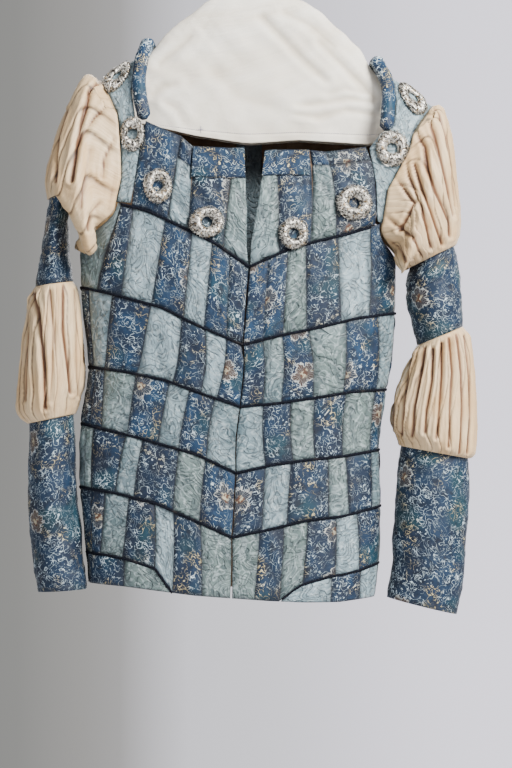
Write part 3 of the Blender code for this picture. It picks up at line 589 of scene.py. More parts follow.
# The stuffing under the wire, and the loose loops that stand out of it
CORE_SECTIONS = 40
CORE_SIDES = 12
CORE_FULLNESS = 0.82
STRAY_LOOPS = 5
STRAY_POINTS = 14
STRAY_REACH = 0.28
STRAY_TURN = 1.1

# How much further a roll reaches than its last step, to meet the ornament on the strap
ROLL_REACH = {"neck_roll_left": 0.15, "neck_roll_back": 0.0, "neck_roll_right": 0.25}
# Points round a roll and the distance between its rings, the angle at which its seam lies and how
# deep it pulls in, where on the stuff it is cut, how far from its ends it narrows and how much, and
# a direction that is never along it
ROLL_SIDES = 28
ROLL_STEP = 1.6
ROLL_SEAM = 4.2
ROLL_SEAM_DEPTH = 1.0
ROLL_SEAM_REACH = 0.22
ROLL_CUT = 0.3
ROLL_END = 4.0
ROLL_END_LEAST = 0.25
ROLL_UP = {"front": (0.0, -0.5, 1.0), "back": (0.0, 0.6, 1.0)}

# Hanger cover: its rings and columns, and its waves as two wavelengths and a height each
COVER_ROWS = 90
COVER_DROP_ROWS = 16
COVER_COLUMNS = 200
COVER_WAVES = ((110, 90, 1.5), (42, 48, 0.8), (16, 26, 0.2))
# The back's creases are those of the front, turned about the cover's middle
COVER_TWICE_MIDDLE = 18
# Rows at the top in which waves and creases grow, how deep the creases are, how wide the shade of
# the side seams is, how near them the cloth stays smooth, and the height below which it is in shade
COVER_FADE_ROWS = 8
COVER_CREASE = 0.8
COVER_SIDE_SEAM = 0.06
COVER_EDGE = 0.4
COVER_SHADE_Z = -215
# The cover's hem, the stitches along it, and the small cross mark at its left
HEM_ROWS = 7
HEM_THICKNESS = 0.5
STITCH_STEP = 2.6
STITCH_HALF = 0.36
STITCH_LIFTS = np.array([[0.35], [0.75], [0.35]])
STITCH_TURN = 3
STITCH_RADIUS = 0.16
MARK_RADIUS = 0.2
MARK_X = -54

# Petals of a flower, and veins all round it
PETALS = 5
VEINS = 25.0

# The picture, in metres: where the camera looks, how far away it is, and the height it takes in
LOOK_AT = (0.010, -0.05, -0.539)
CAMERA_AWAY = 5.0
VIEW_HEIGHT = 0.883
SENSOR = 36.0
FLOOR_Z = -1.30
FLOOR_RADIUS = 1.5
# The soft light all round: its colour from the left, at 0, to the right, at 1
SKY = (
    (0.0, (0.30, 0.30, 0.31)),
    (0.470, (0.30, 0.30, 0.29)),
    (0.482, (0.42, 0.41, 0.40)),
    (0.494, (1.00, 0.99, 1.06)),
    (0.530, (1.55, 1.50, 1.70)),
    (0.560, (1.50, 1.45, 1.62)),
    (0.620, (0.58, 0.58, 0.60)),
    (1.0, (0.58, 0.58, 0.60)),
)
# Lamps: name, place, size, power and colour
LIGHTS = (
    ("key", (1.6, -1.8, 1.1), 1.1, 245, (1.0, 0.985, 0.955)),
    ("fill", (-1.9, -1.8, 0.0), 1.8, 20, (0.94, 0.97, 1.0)),
    ("back", (0.3, 2.4, 0.4), 2.0, 60, (1.0, 1.0, 1.0)),
)


def smooth(places, values, at):
    """Values of a smooth curve through a table, at other places."""
    places = np.asarray(places, float)
    values = np.asarray(values, float)
    slopes = np.gradient(values, places, axis=0)
    at = np.clip(np.asarray(at, float), places[0], places[-1])
    k = np.clip(np.searchsorted(places, at) - 1, 0, len(places) - 2)
    span = places[k + 1] - places[k]
    s = (at - places[k]) / span
    more = (1,) * (values.ndim - 1)
    s = s.reshape(s.shape + more)
    span = span.reshape(span.shape + more)
    rise = s * s * (3 - 2 * s)
    start = s * (1 - s) ** 2 * span
    end = -s * s * (1 - s) * span
    return values[k] * (1 - rise) + values[k + 1] * rise + slopes[k] * start + slopes[k + 1] * end


def bodice_sizes(z):
    """The bodice's middle x, half width and half depth at a height."""
    left, right, depth = np.moveaxis(smooth(-BODICE[:, 0], BODICE[:, 1:], -np.asarray(z, float)), -1, 0)
    return (left + right) / 2, (right - left) / 2, depth


def shoulder_share(x, z):
    """How much of its depth the bodice has this far below the shoulder ridge."""
    below = (np.interp(x, RIDGE[:, 0], RIDGE[:, 1]) - z) / SHOULDER_DROP
    below = np.clip(below, 0, 1)
    return np.sqrt(1 - (1 - below) ** 2)


def bodice_point(turn, z, side=-1):
    """A point of the bodice. Turn is 0 at the centre and a quarter circle at each side seam."""
    z = np.asarray(z, float)
    middle, half, depth = bodice_sizes(z)
    across = np.sign(np.sin(turn)) * np.abs(np.sin(turn)) ** (2 / ROUNDNESS)
    x = middle + half * across
    y = side * depth * np.abs(np.cos(turn)) ** (2 / ROUNDNESS) * shoulder_share(x, z)
    return np.stack([x, y, z + 0 * x], axis=-1)


def turn_at(x, z):
    middle, half, _ = bodice_sizes(z)
    share = np.clip((x - middle) / half, -1, 1)
    return np.arcsin(np.sign(share) * np.abs(share) ** (ROUNDNESS / 2))


def surface_at(x, z, side=-1):
    return bodice_point(turn_at(x, z), z, side)


def sign_of(side_name):
    return -1 if side_name == "left" else 1


def side_turn(side_name, z):
    """Turn of a panel's outer edge: along the armhole down to the armpit, then the side seam."""
    top = end_height(side_name, "a")
    start = turn_at(ARMHOLE_CORNERS[side_name], top)
    share = np.clip((top - z) / (top - ARMPITS[side_name]), 0, 1)
    return start + (sign_of(side_name) * math.pi / 2 - start) * share**2


def end_height(side_name, line):
    return FRONT_LINES[line][0 if side_name == "left" else -1]


def line_height(line, share):
    return np.interp(share, LINE_SHARES, FRONT_LINES[line])


def subdivided(values, steps):
    """Each stretch between two values is cut at the steps, which run from 0 up to 1."""
    inner = np.array(steps[:-1])
    parts = [a + (b - a) * inner for a, b in zip(values[:-1], values[1:])]
    return np.concatenate(parts + [values[-1:]])


def line_turns(side_name, line, seams, steps):
    """Turns and heights along a row seam, with the same few steps inside each patch."""
    sign = sign_of(side_name)
    end_z = float(line_height(line, sign))
    end = side_turn(side_name, end_z)
    end_x = float(bodice_point(end, end_z)[0])
    places = subdivided(np.array(list(seams) + [end_x], float), steps)
    shares = np.abs((places - places[0]) / (end_x - places[0])) * sign
    heights = line_height(line, shares)
    turns = turn_at(places, heights)
    turns[-1] = end
    return turns, heights


def back_line(line, shares):
    """Heights of a row seam across the back, a little lower in the middle."""
    left, right = FRONT_LINES[line][0], FRONT_LINES[line][-1]
    dip = BACK_DIP if line != "hem" else 0.0
    return left + (right - left) * (shares + 1) / 2 - dip * (1 - np.abs(shares))


def back_strap_edge(side_name, z):
    """The strap's inner edge on the back, straight from below the neck roll to the row seam."""
    table = STRAPS[side_name]
    rows = table[(table[:, 1] > table[2, 1] - 1) | (table[:, 1] == table[-1, 1])]
    return np.interp(-z, -rows[:, 1], rows[:, 0])


def normals_of(points, closed=False):
    """Directions out of the garment at the points of a grid, whose rows run down."""
    down = np.gradient(points, axis=0)
    if closed:
        around = np.roll(points, -1, axis=1) - np.roll(points, 1, axis=1)
        away = points - points.mean(axis=1, keepdims=True)
    else:
        around = np.gradient(points, axis=1)
        away = points - points.mean(axis=1, keepdims=True) * (1, 0, 1) + (0, 0, MIDDLE_BELOW)
    normal = unit(np.cross(down, around))
    return normal if np.sum(normal * away) > 0 else -normal


def section_ring(row, angles):
    """A sleeve's section. It starts at the outer edge and runs through the front and the inner edge."""
    size = dict(zip(SLEEVE_COLUMNS, row))
    outer = np.array((size["outer_x"], 0.0, size["outer_z"]))
    inner = np.array((size["inner_x"], size["inner_y"], size["inner_z"]))
    middle = (outer + inner) / 2
    front = np.array((middle[0], size["front"], middle[2]))
    back = np.array((middle[0], size["back"], middle[2]))
    c, s, c2 = (f[:, None] for f in (np.cos(angles), np.sin(angles), np.cos(2 * angles)))
    mean = (outer + front + inner + back) / 4
    across, through = (outer - inner) / 2, (front - back) / 2
    return mean + across * c + through * s + (outer + inner - front - back) / 4 * c2


def strap_rows(side_name, places, columns):
    """Points of a strap, from the front row seam over the shoulder to the back."""
    table = STRAPS[side_name]
    rows = np.array([[np.interp(p, range(len(table)), table[:, c]) for c in range(4)] for p in places])
    rows[-1, (1, 3)] += YOKE_GAP / 2
    points = []
    for side, order in ((-1, range(len(rows) - 1, -1, -1)), (1, range(1, len(rows)))):
        for k in order:
            inner_x, inner_z, outer_x, outer_z = rows[k]
            if side > 0:
                inner_x = back_strap_edge(side_name, inner_z)
            share = np.linspace(0, 1, columns)
            x = inner_x + (outer_x - inner_x) * share
            z = inner_z + (outer_z - inner_z) * share
            if k == 0:
                z = np.interp(x, RIDGE[:, 0], RIDGE[:, 1])
            points.append(surface_at(x, z, side))
    return np.array(points)


def run_of(line):
    """How far each point of a line is along it, in millimetres."""
    return np.concatenate([[0], np.cumsum(np.linalg.norm(np.diff(line, axis=0), axis=1))])


def spots_at(places, run, line):
    """Points on a line where its run has these values."""
    return np.stack([np.interp(places, run, line[:, c]) for c in range(3)], axis=1)


def armhole_edge(side_name):
    """The front panel's edge from the first row seam down to the armpit."""
    top = end_height(side_name, "a") - YOKE_GAP / 2
    z = np.linspace(top, ARMPITS[side_name], 9)[1:-1]
    return bodice_point(side_turn(side_name, z), z)


def armhole_ring(side_name, angles):
    """The armhole's edge, from the shoulder tip down the front, under the arm and up the back."""
    strap = strap_rows(side_name, (0, 0.35, 0.8, 1.4, 2.2, 3, 4, 5, 6, 7), 4)[:, -1]
    ridge = len(strap) // 2
    front = np.concatenate([strap[ridge::-1], armhole_edge(side_name)])
    under = bodice_point(sign_of(side_name) * math.pi / 2, ARMPITS[side_name])[None]
    loop = np.concatenate([front, under, front[::-1] * (1, -1, 1)])
    run = run_of(loop)
    ring = spots_at((angles % (2 * math.pi)) / (2 * math.pi), run / run[-1], loop)
    low = np.clip((FRONT_LINES["a"][0] - ring[:, 2]) / UNDERARM_SPAN, 0, 1)
    ring[:, 0] += sign_of(side_name) * ARMHOLE_GAP
    ring[:, 2] += UNDERARM_GAP * low
    return ring


def clear_of_body(points, side_name, clearance=BODY_CLEARANCE):
    """Points pushed out of the bodice until they are this far from it, where it has cloth."""
    z = points[..., 2]
    middle, half, depth = bodice_sizes(z)
    across = np.abs((points[..., 0] - middle) / half)
    along = np.abs(points[..., 1] / depth)
    reach = (across**ROUNDNESS + along**ROUNDNESS) ** (1 / ROUNDNESS)
    turn = np.arctan2(across ** (ROUNDNESS / 2), along ** (ROUNDNESS / 2))
    edge = np.abs(side_turn(side_name, z))
    near = np.clip((edge + EDGE_FADE - turn) / EDGE_FADE, 0, 1)
    wanted = 1 + clearance / (depth + CORNER_ALLOWANCE)
    share = 1 + np.maximum(0, wanted / reach - 1) * near
    moved = points.copy()
    moved[..., 0] = middle + (points[..., 0] - middle) * share
    moved[..., 1] = points[..., 1] * share
    return moved


def resampled(rings, count):
    """More rings along a sleeve, on smooth curves through those given."""
    return smooth(np.arange(len(rings)), rings, np.linspace(0, len(rings) - 1, count))


def run_along(points, axis):
    """How far each point is along its row or column, in millimetres."""
    steps = np.linalg.norm(np.diff(points, axis=axis), axis=2)
    start = np.zeros_like(np.take(steps, [0], axis=axis))
    return np.concatenate([start, np.cumsum(steps, axis=axis)], axis=axis)


def ripple(u, v, seed, count=5):
    """Soft uneven waves between about -1 and 1, over places given in wavelengths."""
    dice = np.random.default_rng(seed)
    total = 0
    for _ in range(count):
        fu, fv = dice.uniform(0.45, 1.5, 2)
        total = total + np.sin(2 * math.pi * (u * fu + v * fv * dice.choice((-1, 1)) + dice.uniform(0, 1)))
    return total / math.sqrt(count * 2)


def waves(u, v, seed, sizes):
    """Soft waves of several sizes, each given as its two wavelengths and its height."""
    total = 0
    for k, (long_u, long_v, height) in enumerate(sizes):
        total = total + ripple(u / long_u, v / long_v, seed + k) * height
    return total


def near_edge(share, reach):
    """1 at both ends of a run from 0 to 1, falling to 0 at this reach from them."""
    return np.clip(1 - np.minimum(share, 1 - share) / reach, 0, 1)


def rounded(share, reach, power=2.0):
    """0 at both ends of a run from 0 to 1, and a round rise to 1 at this reach from them."""
    return 1 - near_edge(share, reach) ** power


def unit(vectors):
    return vectors / np.maximum(np.linalg.norm(vectors, axis=-1, keepdims=True), 1e-9)


def crease_depth(points, creases, side=-1):
    """Depth of the listed creases: each is a list of x, z spots with a depth and a width, read on the side
    that it lies on."""
    depth = np.zeros(points.shape[:-1])
    flat = points[..., (0, 2)]
    for spots, deep, wide in creases:
        line = np.array(spots, float)
        nearest = np.full(depth.shape, 1e9)
        for a, b in zip(line[:-1], line[1:]):
            along = np.clip(((flat - a) @ (b - a)) / ((b - a) @ (b - a)), 0, 1)
            gap = np.linalg.norm(flat - (a + along[..., None] * (b - a)), axis=-1)
            nearest = np.minimum(nearest, gap)
        facing = np.clip(points[..., 1] * side / 12 + 0.3, 0, 1)
        shoulder = np.exp(-(((nearest - wide * 1.8) / (wide * 0.8)) ** 2))
        valley = np.exp(-nearest / (wide * 0.7)) - CREASE_SHOULDER * shoulder
        depth += deep * CREASE_STRENGTH * valley * facing
    return depth


def grid_faces(rows, columns, closed):
    """The corners of a grid's faces, by the numbers of its points."""
    r, c = np.meshgrid(np.arange(rows - 1), np.arange(columns - (not closed)), indexing="ij")
    n = (c + 1) % columns
    return np.stack([r * columns + c, (r + 1) * columns + c, (r + 1) * columns + n, r * columns + n], -1)


class Cloth:
    """Gathers closed strips of cloth into one piece, with a place on the cloth for each corner."""

    def __init__(self, name):
        self.name = name
        self.points = []
        self.faces = []
        self.kinds = []
        self.places = []
        # The seam value gives the dark seam lines and also carries painted shade beside seams and in
        # shaded spots; the fold value is painted shade in folds, hollows and creases
        self.values = {"seam": [], "fold": []}
        self.slots = []

    def kind(self, material):
        if material not in self.slots:
            self.slots.append(material)
        return self.slots.index(material)

    def strip(
        self, outer, inner, materials, lining, places=None, seam=0, fold=0, closed=False, shifts=None
    ):
        """A closed strip between an outer and an inner grid. Materials is a single name, one for each
        column of faces, or a grid of names. Shifts move each column's place on its cloth."""
        rows, columns = outer.shape[:2]
        start = sum(len(p) for p in self.points)
        self.points += [outer.reshape(-1, 3), inner.reshape(-1, 3)]
        for key, given in (("seam", seam), ("fold", fold)):
            values = np.broadcast_to(np.asarray(given, float), (rows, columns))
            self.values[key] += [values.ravel(), values.ravel()]
        if places is None:
            whole = outer if not closed else np.concatenate([outer, outer[:, :1]], axis=1)
            places = np.stack([run_along(whole, 1), -run_along(whole, 0)], axis=-1)
        last = columns if closed else columns - 1
        out = start + grid_faces(rows, columns, closed)
        spot = np.stack([places[:-1, :-1], places[1:, :-1], places[1:, 1:], places[:-1, 1:]], 2)
        if shifts is not None:
            spot = spot + np.asarray(shifts)[None, :, None, :]
        names = np.broadcast_to(np.array(materials, dtype=object), (rows - 1, last))
        kinds = np.array([[self.kind(name) for name in row] for row in names])
        self.faces.append(out.reshape(-1, 4))
        self.places.append(spot.reshape(-1, 4, 2))
        self.kinds.append(kinds.ravel())
        self.faces.append((out + rows * columns)[..., ::-1].reshape(-1, 4))
        self.places.append(spot[:, :, ::-1].reshape(-1, 4, 2))
        self.kinds.append(np.full((rows - 1) * last, self.kind(lining)))
        rims = []
        for row in (0, rows - 1):
            for col in range(last):
                name = names[min(row, rows - 2)][col]
                rims.append(((row, col), (row, (col + 1) % columns), (row, col + 1), name))
        if not closed:
            for col in (0, columns - 1):
                for row in range(rows - 1):
                    name = names[row][min(col, last - 1)]
                    rims.append(((row, col), (row + 1, col), (row + 1, col), name))
        faces = []
        spots = []
        for a, b, b_place, name in rims:
            ia, ib = start + a[0] * columns + a[1], start + b[0] * columns + b[1]
            faces.append((ia, ib, ib + rows * columns, ia + rows * columns))
            spots.append((places[a], places[b_place], places[b_place], places[a]))
            self.kinds.append([self.kind(name)])
        self.faces.append(np.array(faces))
        self.places.append(np.array(spots))

    def made(self):
        """The piece as an object, with its faces turned outwards."""
        mesh = bpy.data.meshes.new(self.name)
        faces = np.concatenate(self.faces)
        mesh.from_pydata((np.concatenate(self.points) * MM).tolist(), [], faces.tolist())
        mesh.polygons.foreach_set("material_index", np.concatenate(self.kinds).astype(np.int32))
        flat = mesh.uv_layers.new(name="cloth")
        flat.uv.foreach_set("vector", (np.concatenate(self.places) * MM).astype(np.float32).ravel())
        give_values(mesh, {key: np.concatenate(values) for key, values in self.values.items()})
        return placed(self.name, mesh, self.slots)


def give_values(mesh, values):
    """Gives a mesh's points the named values that its material reads."""
    for key, numbers in values.items():
        layer = mesh.attributes.new(key, "FLOAT", "POINT")
        layer.data.foreach_set("value", numbers.astype(np.float32))


def placed(name, mesh, materials):
    """A mesh as an object in the scene, smooth and with its faces turned outwards."""
    form = bmesh.new()
    form.from_mesh(mesh)
    bmesh.ops.recalc_face_normals(form, faces=form.faces)
    form.to_mesh(mesh)
    form.free()
    mesh.shade_smooth()
    made = bpy.data.objects.new(name, mesh)
    for material in materials:
        made.data.materials.append(bpy.data.materials[material])
    bpy.context.scene.collection.objects.link(made)
    return made


def dressed(piece, slot, *nodes):
    """A finished piece rides on the one body and stands for its nodes."""
    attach(piece, "root")
    if nodes:
        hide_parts(*nodes)
    return piece


def sheet_area(piece):
    """Half the surface of a closed strip of cloth, in square metres."""
    form = bmesh.new()
    form.from_mesh(piece.data)
    area = sum(face.calc_area() for face in form.faces) / 2
    form.free()
    return area


def as_sheet(piece, kind):
    """Works out the area of a piece's cut and does nothing with it. Its cut is smaller than the rectangle
    that it is cut from.
    """
    flat = FLATS[kind]
    area = min(sheet_area(piece), flat[0] * flat[1])
    area = max(area, LEAST_CUT * flat[0] * flat[1])


def patch_columns(letters):
    """The fullness, seam darkness and letter of each column of a row."""
    steps = np.array(FINE[:-1])
    full = [rounded(steps, PATCH_ROUNDING, 2.2) for _ in letters]
    near = np.minimum(steps, 1 - steps)
    # A dark seam line, with painted shade beside it
    line = np.clip(1.25 - near / SEAM_LINE, 0, 1)
    shade = SEAM_SHADE * np.exp(-((near / SEAM_SHADE_REACH) ** 2))
    dark = [np.maximum(line, shade) for _ in letters]
    for i in range(1, len(letters)):
        if letters[i - 1] == letters[i]:
            dark[i][steps < 0.5] *= LIKE_SEAM
            dark[i - 1][steps > 0.5] *= LIKE_SEAM
    dark[0][steps < 0.5] *= EDGE_DARK
    names = [LETTERS[letter] for letter in letters for _ in steps]
    full = np.append(np.concatenate(full), 0.0)
    return full, np.append(np.concatenate(dark), EDGE_DARK), names


def patch_places(points):
    """Places on the cloth along and down a row."""
    across = run_along(points[len(points) // 2][None], 1)[0]
    down = -run_along(points[:, points.shape[1] // 2][:, None], 0)[:, 0]
    return np.stack(np.broadcast_arrays(across[None, :], down[:, None]), axis=-1).astype(float)


def patch_shifts(letters, seed):
    """A shift for each column of faces, so that each patch is cut from another part of its stuff."""
    dice = np.random.default_rng(seed)
    return np.repeat(dice.uniform(-1, 1, (len(letters), 2)) * CUT_SPREAD, PATCH_STEPS, axis=0)


def patched_strip(cloth, points, letters, seed, facing=None, tuck=None):
    """One row of patches on a panel's own points, puffed up between its seams and puckered by them.
    Facing gives a patch whose top is of the other stuff: its number, the share, and the last patch
    that its seam crosses. Tuck is the seam that a deep fold follows."""
    full, dark, names = patch_columns(letters)
    rows = np.array(FINE_ROWS) if len(points) == len(FINE_ROWS) else np.linspace(0, 1, len(points))
    edge = np.minimum(rows, 1 - rows)
    normal = normals_of(points)
    normal[..., 1] = np.where(np.abs(points[..., 1]) <= SEAM_GAP, 0, normal[..., 1])
    u, v = points[..., 0] + points[..., 1], points[..., 2]
    soft = waves(u, v, seed, PATCH_WAVES)
    drag = ripple(u / 9, v / 70, seed + 3) * np.exp(-edge / PUCKER_REACH)[:, None]
    soft = soft + drag * PATCH_PUCKER
    lift = (PATCH_PUFF + soft) * full[None, :] * rounded(rows, ROW_ROUNDING)[:, None]
    outer = points + normal * lift[..., None]
    inner = points - normal * PANEL_WALL
    # Painted shade beside the row seams, with uneven wear all over
    shade_and_wear = (ROW_SHADE * np.exp(-((edge / ROW_SHADE_REACH) ** 2)))[:, None]
    shade_and_wear = shade_and_wear + WEAR * ripple(u / 16, v / 9, seed + 4)
    seam = np.clip(np.maximum(np.repeat(dark[None, :], len(points), axis=0), shade_and_wear), 0, 1)
    # The fold value is painted shade in the hollows of the waves
    fold = np.clip(0.12 - soft / 1.3, 0, 1)
    if tuck is not None:
        column = np.arange(points.shape[1]) - tuck * PATCH_STEPS
        deep = np.exp(-((column / TUCK_SPREAD) ** 2))[None, :] * np.clip(1.35 - rows, 0, 1)[:, None]
        outer = outer - normal * (deep * TUCK_DEPTH)[..., None]
        # Painted shade in the tuck's deep fold
        seam = np.maximum(seam, deep * 0.9)
    grid = np.repeat(np.array(names, dtype=object)[None, :], len(points) - 1, axis=0)
    if facing:
        patch, share, end = facing
        columns = slice(patch * PATCH_STEPS, (patch + 1) * PATCH_STEPS)
        crossed = slice(patch * PATCH_STEPS, (end + 1) * PATCH_STEPS)
        grid[rows[:-1] < share - 0.01, columns] = "brocade"
        line = np.exp(-(((rows - share) / FACING_LINE) ** 2))
        seam[:, crossed] = np.maximum(seam[:, crossed], line[:, None])
        outer[:, crossed] -= normal[:, crossed] * (line * FACING_DEPTH)[:, None, None]
    shifts = patch_shifts(letters, seed)
    cloth.strip(outer, inner, grid, "lining", patch_places(points), seam, fold, shifts=shifts)


def low_seam_height(side_name, x):
    seam = np.array(sorted(LOW_SEAMS[side_name]))
    return np.interp(x, seam[:, 0], seam[:, 1])


def low_line(side_name, x):
    """Height of the last long row's lower edge: the hem, or the short seam where there is one."""
    hem = hem_height(side_name, x)
    start = LOW_SEAMS[side_name][0][0]
    inside = x > start if side_name == "left" else x < start
    return np.where(inside, hem, np.maximum(low_seam_height(side_name, x), hem))


def hem_height(side_name, x):
    sign = sign_of(side_name)
    end_x = float(bodice_point(sign * math.pi / 2, end_height(side_name, "hem"))[0])
    start = FRONT_ROWS[side_name][-1][2][0]
    return line_height("hem", np.clip((x - start) / (end_x - start), 0, 1) * sign)


def front_rows(side_name):
    """The rows of a front, each as its points, its letters and a seed."""
    sign = sign_of(side_name)
    for k, (letters, top_x, bottom_x) in enumerate(FRONT_ROWS[side_name]):
        top = line_turns(side_name, LINE_NAMES[k], top_x, FINE)
        bottom = list(line_turns(side_name, LINE_NAMES[k + 1], bottom_x, FINE))
        if k == 4:
            x = bodice_point(bottom[0], bottom[1])[:, 0]
            bottom[1] = low_line(side_name, x)
            bottom[1][-1] = LOW_SEAMS[side_name][-1][1]
        rows = []
        for share in FINE_ROWS:
            turn = top[0] + (bottom[0] - top[0]) * share
            z = top[1] + (bottom[1] - top[1]) * share
            if k == 0:
                ends = (None, side_turn(side_name, z[-1]))
                turn = straight_turns(top[0], bottom[0], top[1], bottom[1], share, ends)
                z = z - YOKE_GAP / 2 * (share == 0)
            rows.append(bodice_point(turn, z))
        yield np.array(rows), letters, 10 * k + (sign > 0) * RIGHT_SEED


def low_row(side_name):
    """The patches between the short seam and the hem."""
    letters, top_x, bottom_x = LOW_ROWS[side_name]
    sign = sign_of(side_name)
    rows = []
    end = sign * math.pi / 2
    top_end = float(bodice_point(end, float(LOW_SEAMS[side_name][-1][1]))[0])
    hem_end = float(bodice_point(end, float(end_height(side_name, "hem")))[0])
    top = subdivided(np.array(list(top_x) + [top_end], float), FINE)
    bottom = subdivided(np.array(list(bottom_x) + [hem_end], float), FINE)
    high = low_seam_height(side_name, top)
    low = np.minimum(hem_height(side_name, bottom), high - LEAST_ROW)
    for share in FINE_ROWS:
        x = top + (bottom - top) * share
        z = high + (low - high) * share
        turn = turn_at(x, z)
        turn[-1] = end
        rows.append(bodice_point(turn, z))
    return np.array(rows), letters, LOW_SEED + (sign > 0) * RIGHT_SEED


def yoke_points(side_name):
    """Points of a yoke from the neckline to the first row seam, and its letters."""
    yoke = YOKES[side_name]
    bottom_x = subdivided(np.array(yoke["bottom"], float), FINE)
    end_x = ARMHOLE_CORNERS[side_name]
    shares = np.abs((bottom_x - bottom_x[0]) / (end_x - bottom_x[0])) * sign_of(side_name)
    bottom_z = line_height("a", shares) + YOKE_GAP / 2
    top_z = np.array(yoke["neckline"], float)
    top_turn = subdivided(turn_at(np.array(yoke["top"], float), top_z), FINE)
    bottom_turn = turn_at(bottom_x, bottom_z)
    top_z = subdivided(top_z, FINE)
    points = []
    for share in np.linspace(0, 1, YOKE_ROWS):
        turn = top_turn + (bottom_turn - top_turn) * share
        z = top_z + (bottom_z - top_z) * share
        points.append(bodice_point(turn, z))
    points = np.array(points)
    points[:, 0, 0] += sign_of(side_name) * FRONT_SLIT / 2
    return points, yoke["patches"]


def at_side(points, side):
    """Keeps points just on the front's side of the side seams, or on the back's."""
    points[..., 1] = side * np.maximum(side * points[..., 1], SEAM_GAP)
    return points


def add_fronts():
    for side_name in ("left", "right"):
        cloth = Cloth(f"front_{side_name}_cloth")
        for points, letters, seed in list(front_rows(side_name)) + [low_row(side_name)]:
            points[:, 0, 0] += (sign_of(side_name) * FRONT_SLIT / 2) * (seed % RIGHT_SEED != LOW_SEED)
            patched_strip(cloth, at_side(points, -1), letters, seed)
        piece = dressed(cloth.made(), "quilted_cloth", f"front_{side_name}")
        as_sheet(piece, "front")
        cloth = Cloth(f"yoke_{side_name}_cloth")
        points, letters = yoke_points(side_name)
        seed = SEEDS[f"yoke_{side_name}"]
        patched_strip(cloth, points, letters, seed, YOKE_FACINGS[side_name], YOKES[side_name]["tuck"])
        piece = dressed(cloth.made(), "brocade", f"yoke_{side_name}")
        as_sheet(piece, "yoke")


def back_turns(line, shares):
    """Turns round the bodice of a seam line across the back."""
    left = side_turn("left", line[0])
    right = side_turn("right", line[-1])
    return (left + right) / 2 + (right - left) / 2 * shares


def straight_turns(top, bottom, top_z, bottom_z, share, ends):
    """Turns at a share of the way down a row, with straight seams between its patches. Only the
    patches next to the row's two ends bend to follow them."""
    high = bodice_point(top, top_z)[:, 0]
    low = bodice_point(bottom, bottom_z)[:, 0]
    z = top_z + (bottom_z - top_z) * share
    turn = turn_at(high + (low - high) * share, z)
    count = len(turn)
    from_end = np.arange(count)
    for end, wanted, distance in ((0, ends[0], from_end), (count - 1, ends[1], count - 1 - from_end)):
        if wanted is not None:
            turn = turn + (wanted - turn[end]) * np.clip(1 - distance / END_BEND, 0, 1) ** 1.5
    return turn


def add_back():
    shares = subdivided(np.linspace(-1, 1, BACK_PATCHES + 1), FINE)
    cloth = Cloth("back_cloth")
    for k in range(len(LINE_NAMES) - 1):
        tops, bottoms = back_line(LINE_NAMES[k], shares), back_line(LINE_NAMES[k + 1], shares)
        rows = []
        for share in FINE_ROWS:
            z = tops + (bottoms - tops) * share
            ends = side_turn("left", z[0]), side_turn("right", z[-1])
            high, low = back_turns(tops, shares), back_turns(bottoms, shares)
            turn = straight_turns(high, low, tops, bottoms, share, ends)
            rows.append(bodice_point(turn, z - YOKE_GAP / 2 * (share == 0 and k == 0), 1))
        letters = ("bl" if k % 2 == 0 else "lb") * (BACK_PATCHES // 2)
        patched_strip(cloth, at_side(np.array(rows), 1), letters, SEEDS["back"] + 10 * k)
    piece = dressed(cloth.made(), "quilted_cloth", "back")
    as_sheet(piece, "back")
    cloth = Cloth("back_yoke_cloth")
    patched_strip(cloth, back_yoke_points(), "bl" * (YOKE_STRIPS // 2), SEEDS["back_yoke"])
    piece = dressed(cloth.made(), "brocade", "back_yoke")
    as_sheet(piece, "back_yoke")


def add_placket():
    """The strip sewn down the middle of the back's inside, seen through the open neck."""
    x = np.linspace(*PLACKET_SPAN, 12)
    rows = [surface_at(x, np.full(len(x), z), 1) for z in np.linspace(*PLACKET_HEIGHTS, 60)]
    points = np.array(rows)
    away = normals_of(points)
    soft = ripple(points[..., 0] / 14, points[..., 2] / 40, SEEDS["placket"]) * 0.4
    outer = points - away * (PANEL_WALL + 3.0 + soft)[..., None]
    inner = points - away * (PANEL_WALL + 1.6 + soft)[..., None]
    cloth = Cloth("back_placket_cloth")
    # The whole placket is darkened with painted shade, as it lies inside the back: a seam value of at
    # least 0.45 and the full fold value, with darker seam lines at its edges
    seam = np.broadcast_to(np.array([0.8] + [0.0] * 10 + [0.8])[None, :], soft.shape)
    cloth.strip(outer, inner, "quilted_cloth", "lining", None, np.maximum(seam, 0.45), 1 + 0 * soft)
    piece = dressed(cloth.made(), "quilted_cloth")
    as_sheet(piece, "placket")


def back_yoke_points():
    """Points of the back yoke, between the straps' back ends and below the neck roll."""
    shares = subdivided(np.linspace(-1, 1, YOKE_STRIPS + 1), FINE)
    inner_left = STRAPS["left"][-1, 0] + STRAP_GAP
    inner_right = STRAPS["right"][-1, 0] - STRAP_GAP
    corner_left, corner_right = ARMHOLE_CORNERS["left"], ARMHOLE_CORNERS["right"]
    bottom_x = inner_left + (inner_right - inner_left) * (shares + 1) / 2
    whole = 2 * (bottom_x - corner_left) / (corner_right - corner_left) - 1
    bottom_z = back_line("a", whole) + YOKE_GAP / 2
    roll = np.array(NECK_ROLLS["neck_roll_back"])
    top_x = BACK_NECK[0] + (BACK_NECK[1] - BACK_NECK[0]) * (shares + 1) / 2
    top_z = np.interp(top_x, roll[1:-1, 0], roll[1:-1, 2]) - ROLL_RADIUS - BACK_NECK_GAP
    points = []
    for share in FINE_ROWS:
        z = top_z + (bottom_z - top_z) * share
        x = top_x + (bottom_x - top_x) * share
        left = back_strap_edge("left", z[0]) + STRAP_GAP
        right = back_strap_edge("right", z[-1]) - STRAP_GAP
        x = left + (right - left) * (x - x[0]) / (x[-1] - x[0])
        points.append(surface_at(x, z, 1))
    return np.array(points)


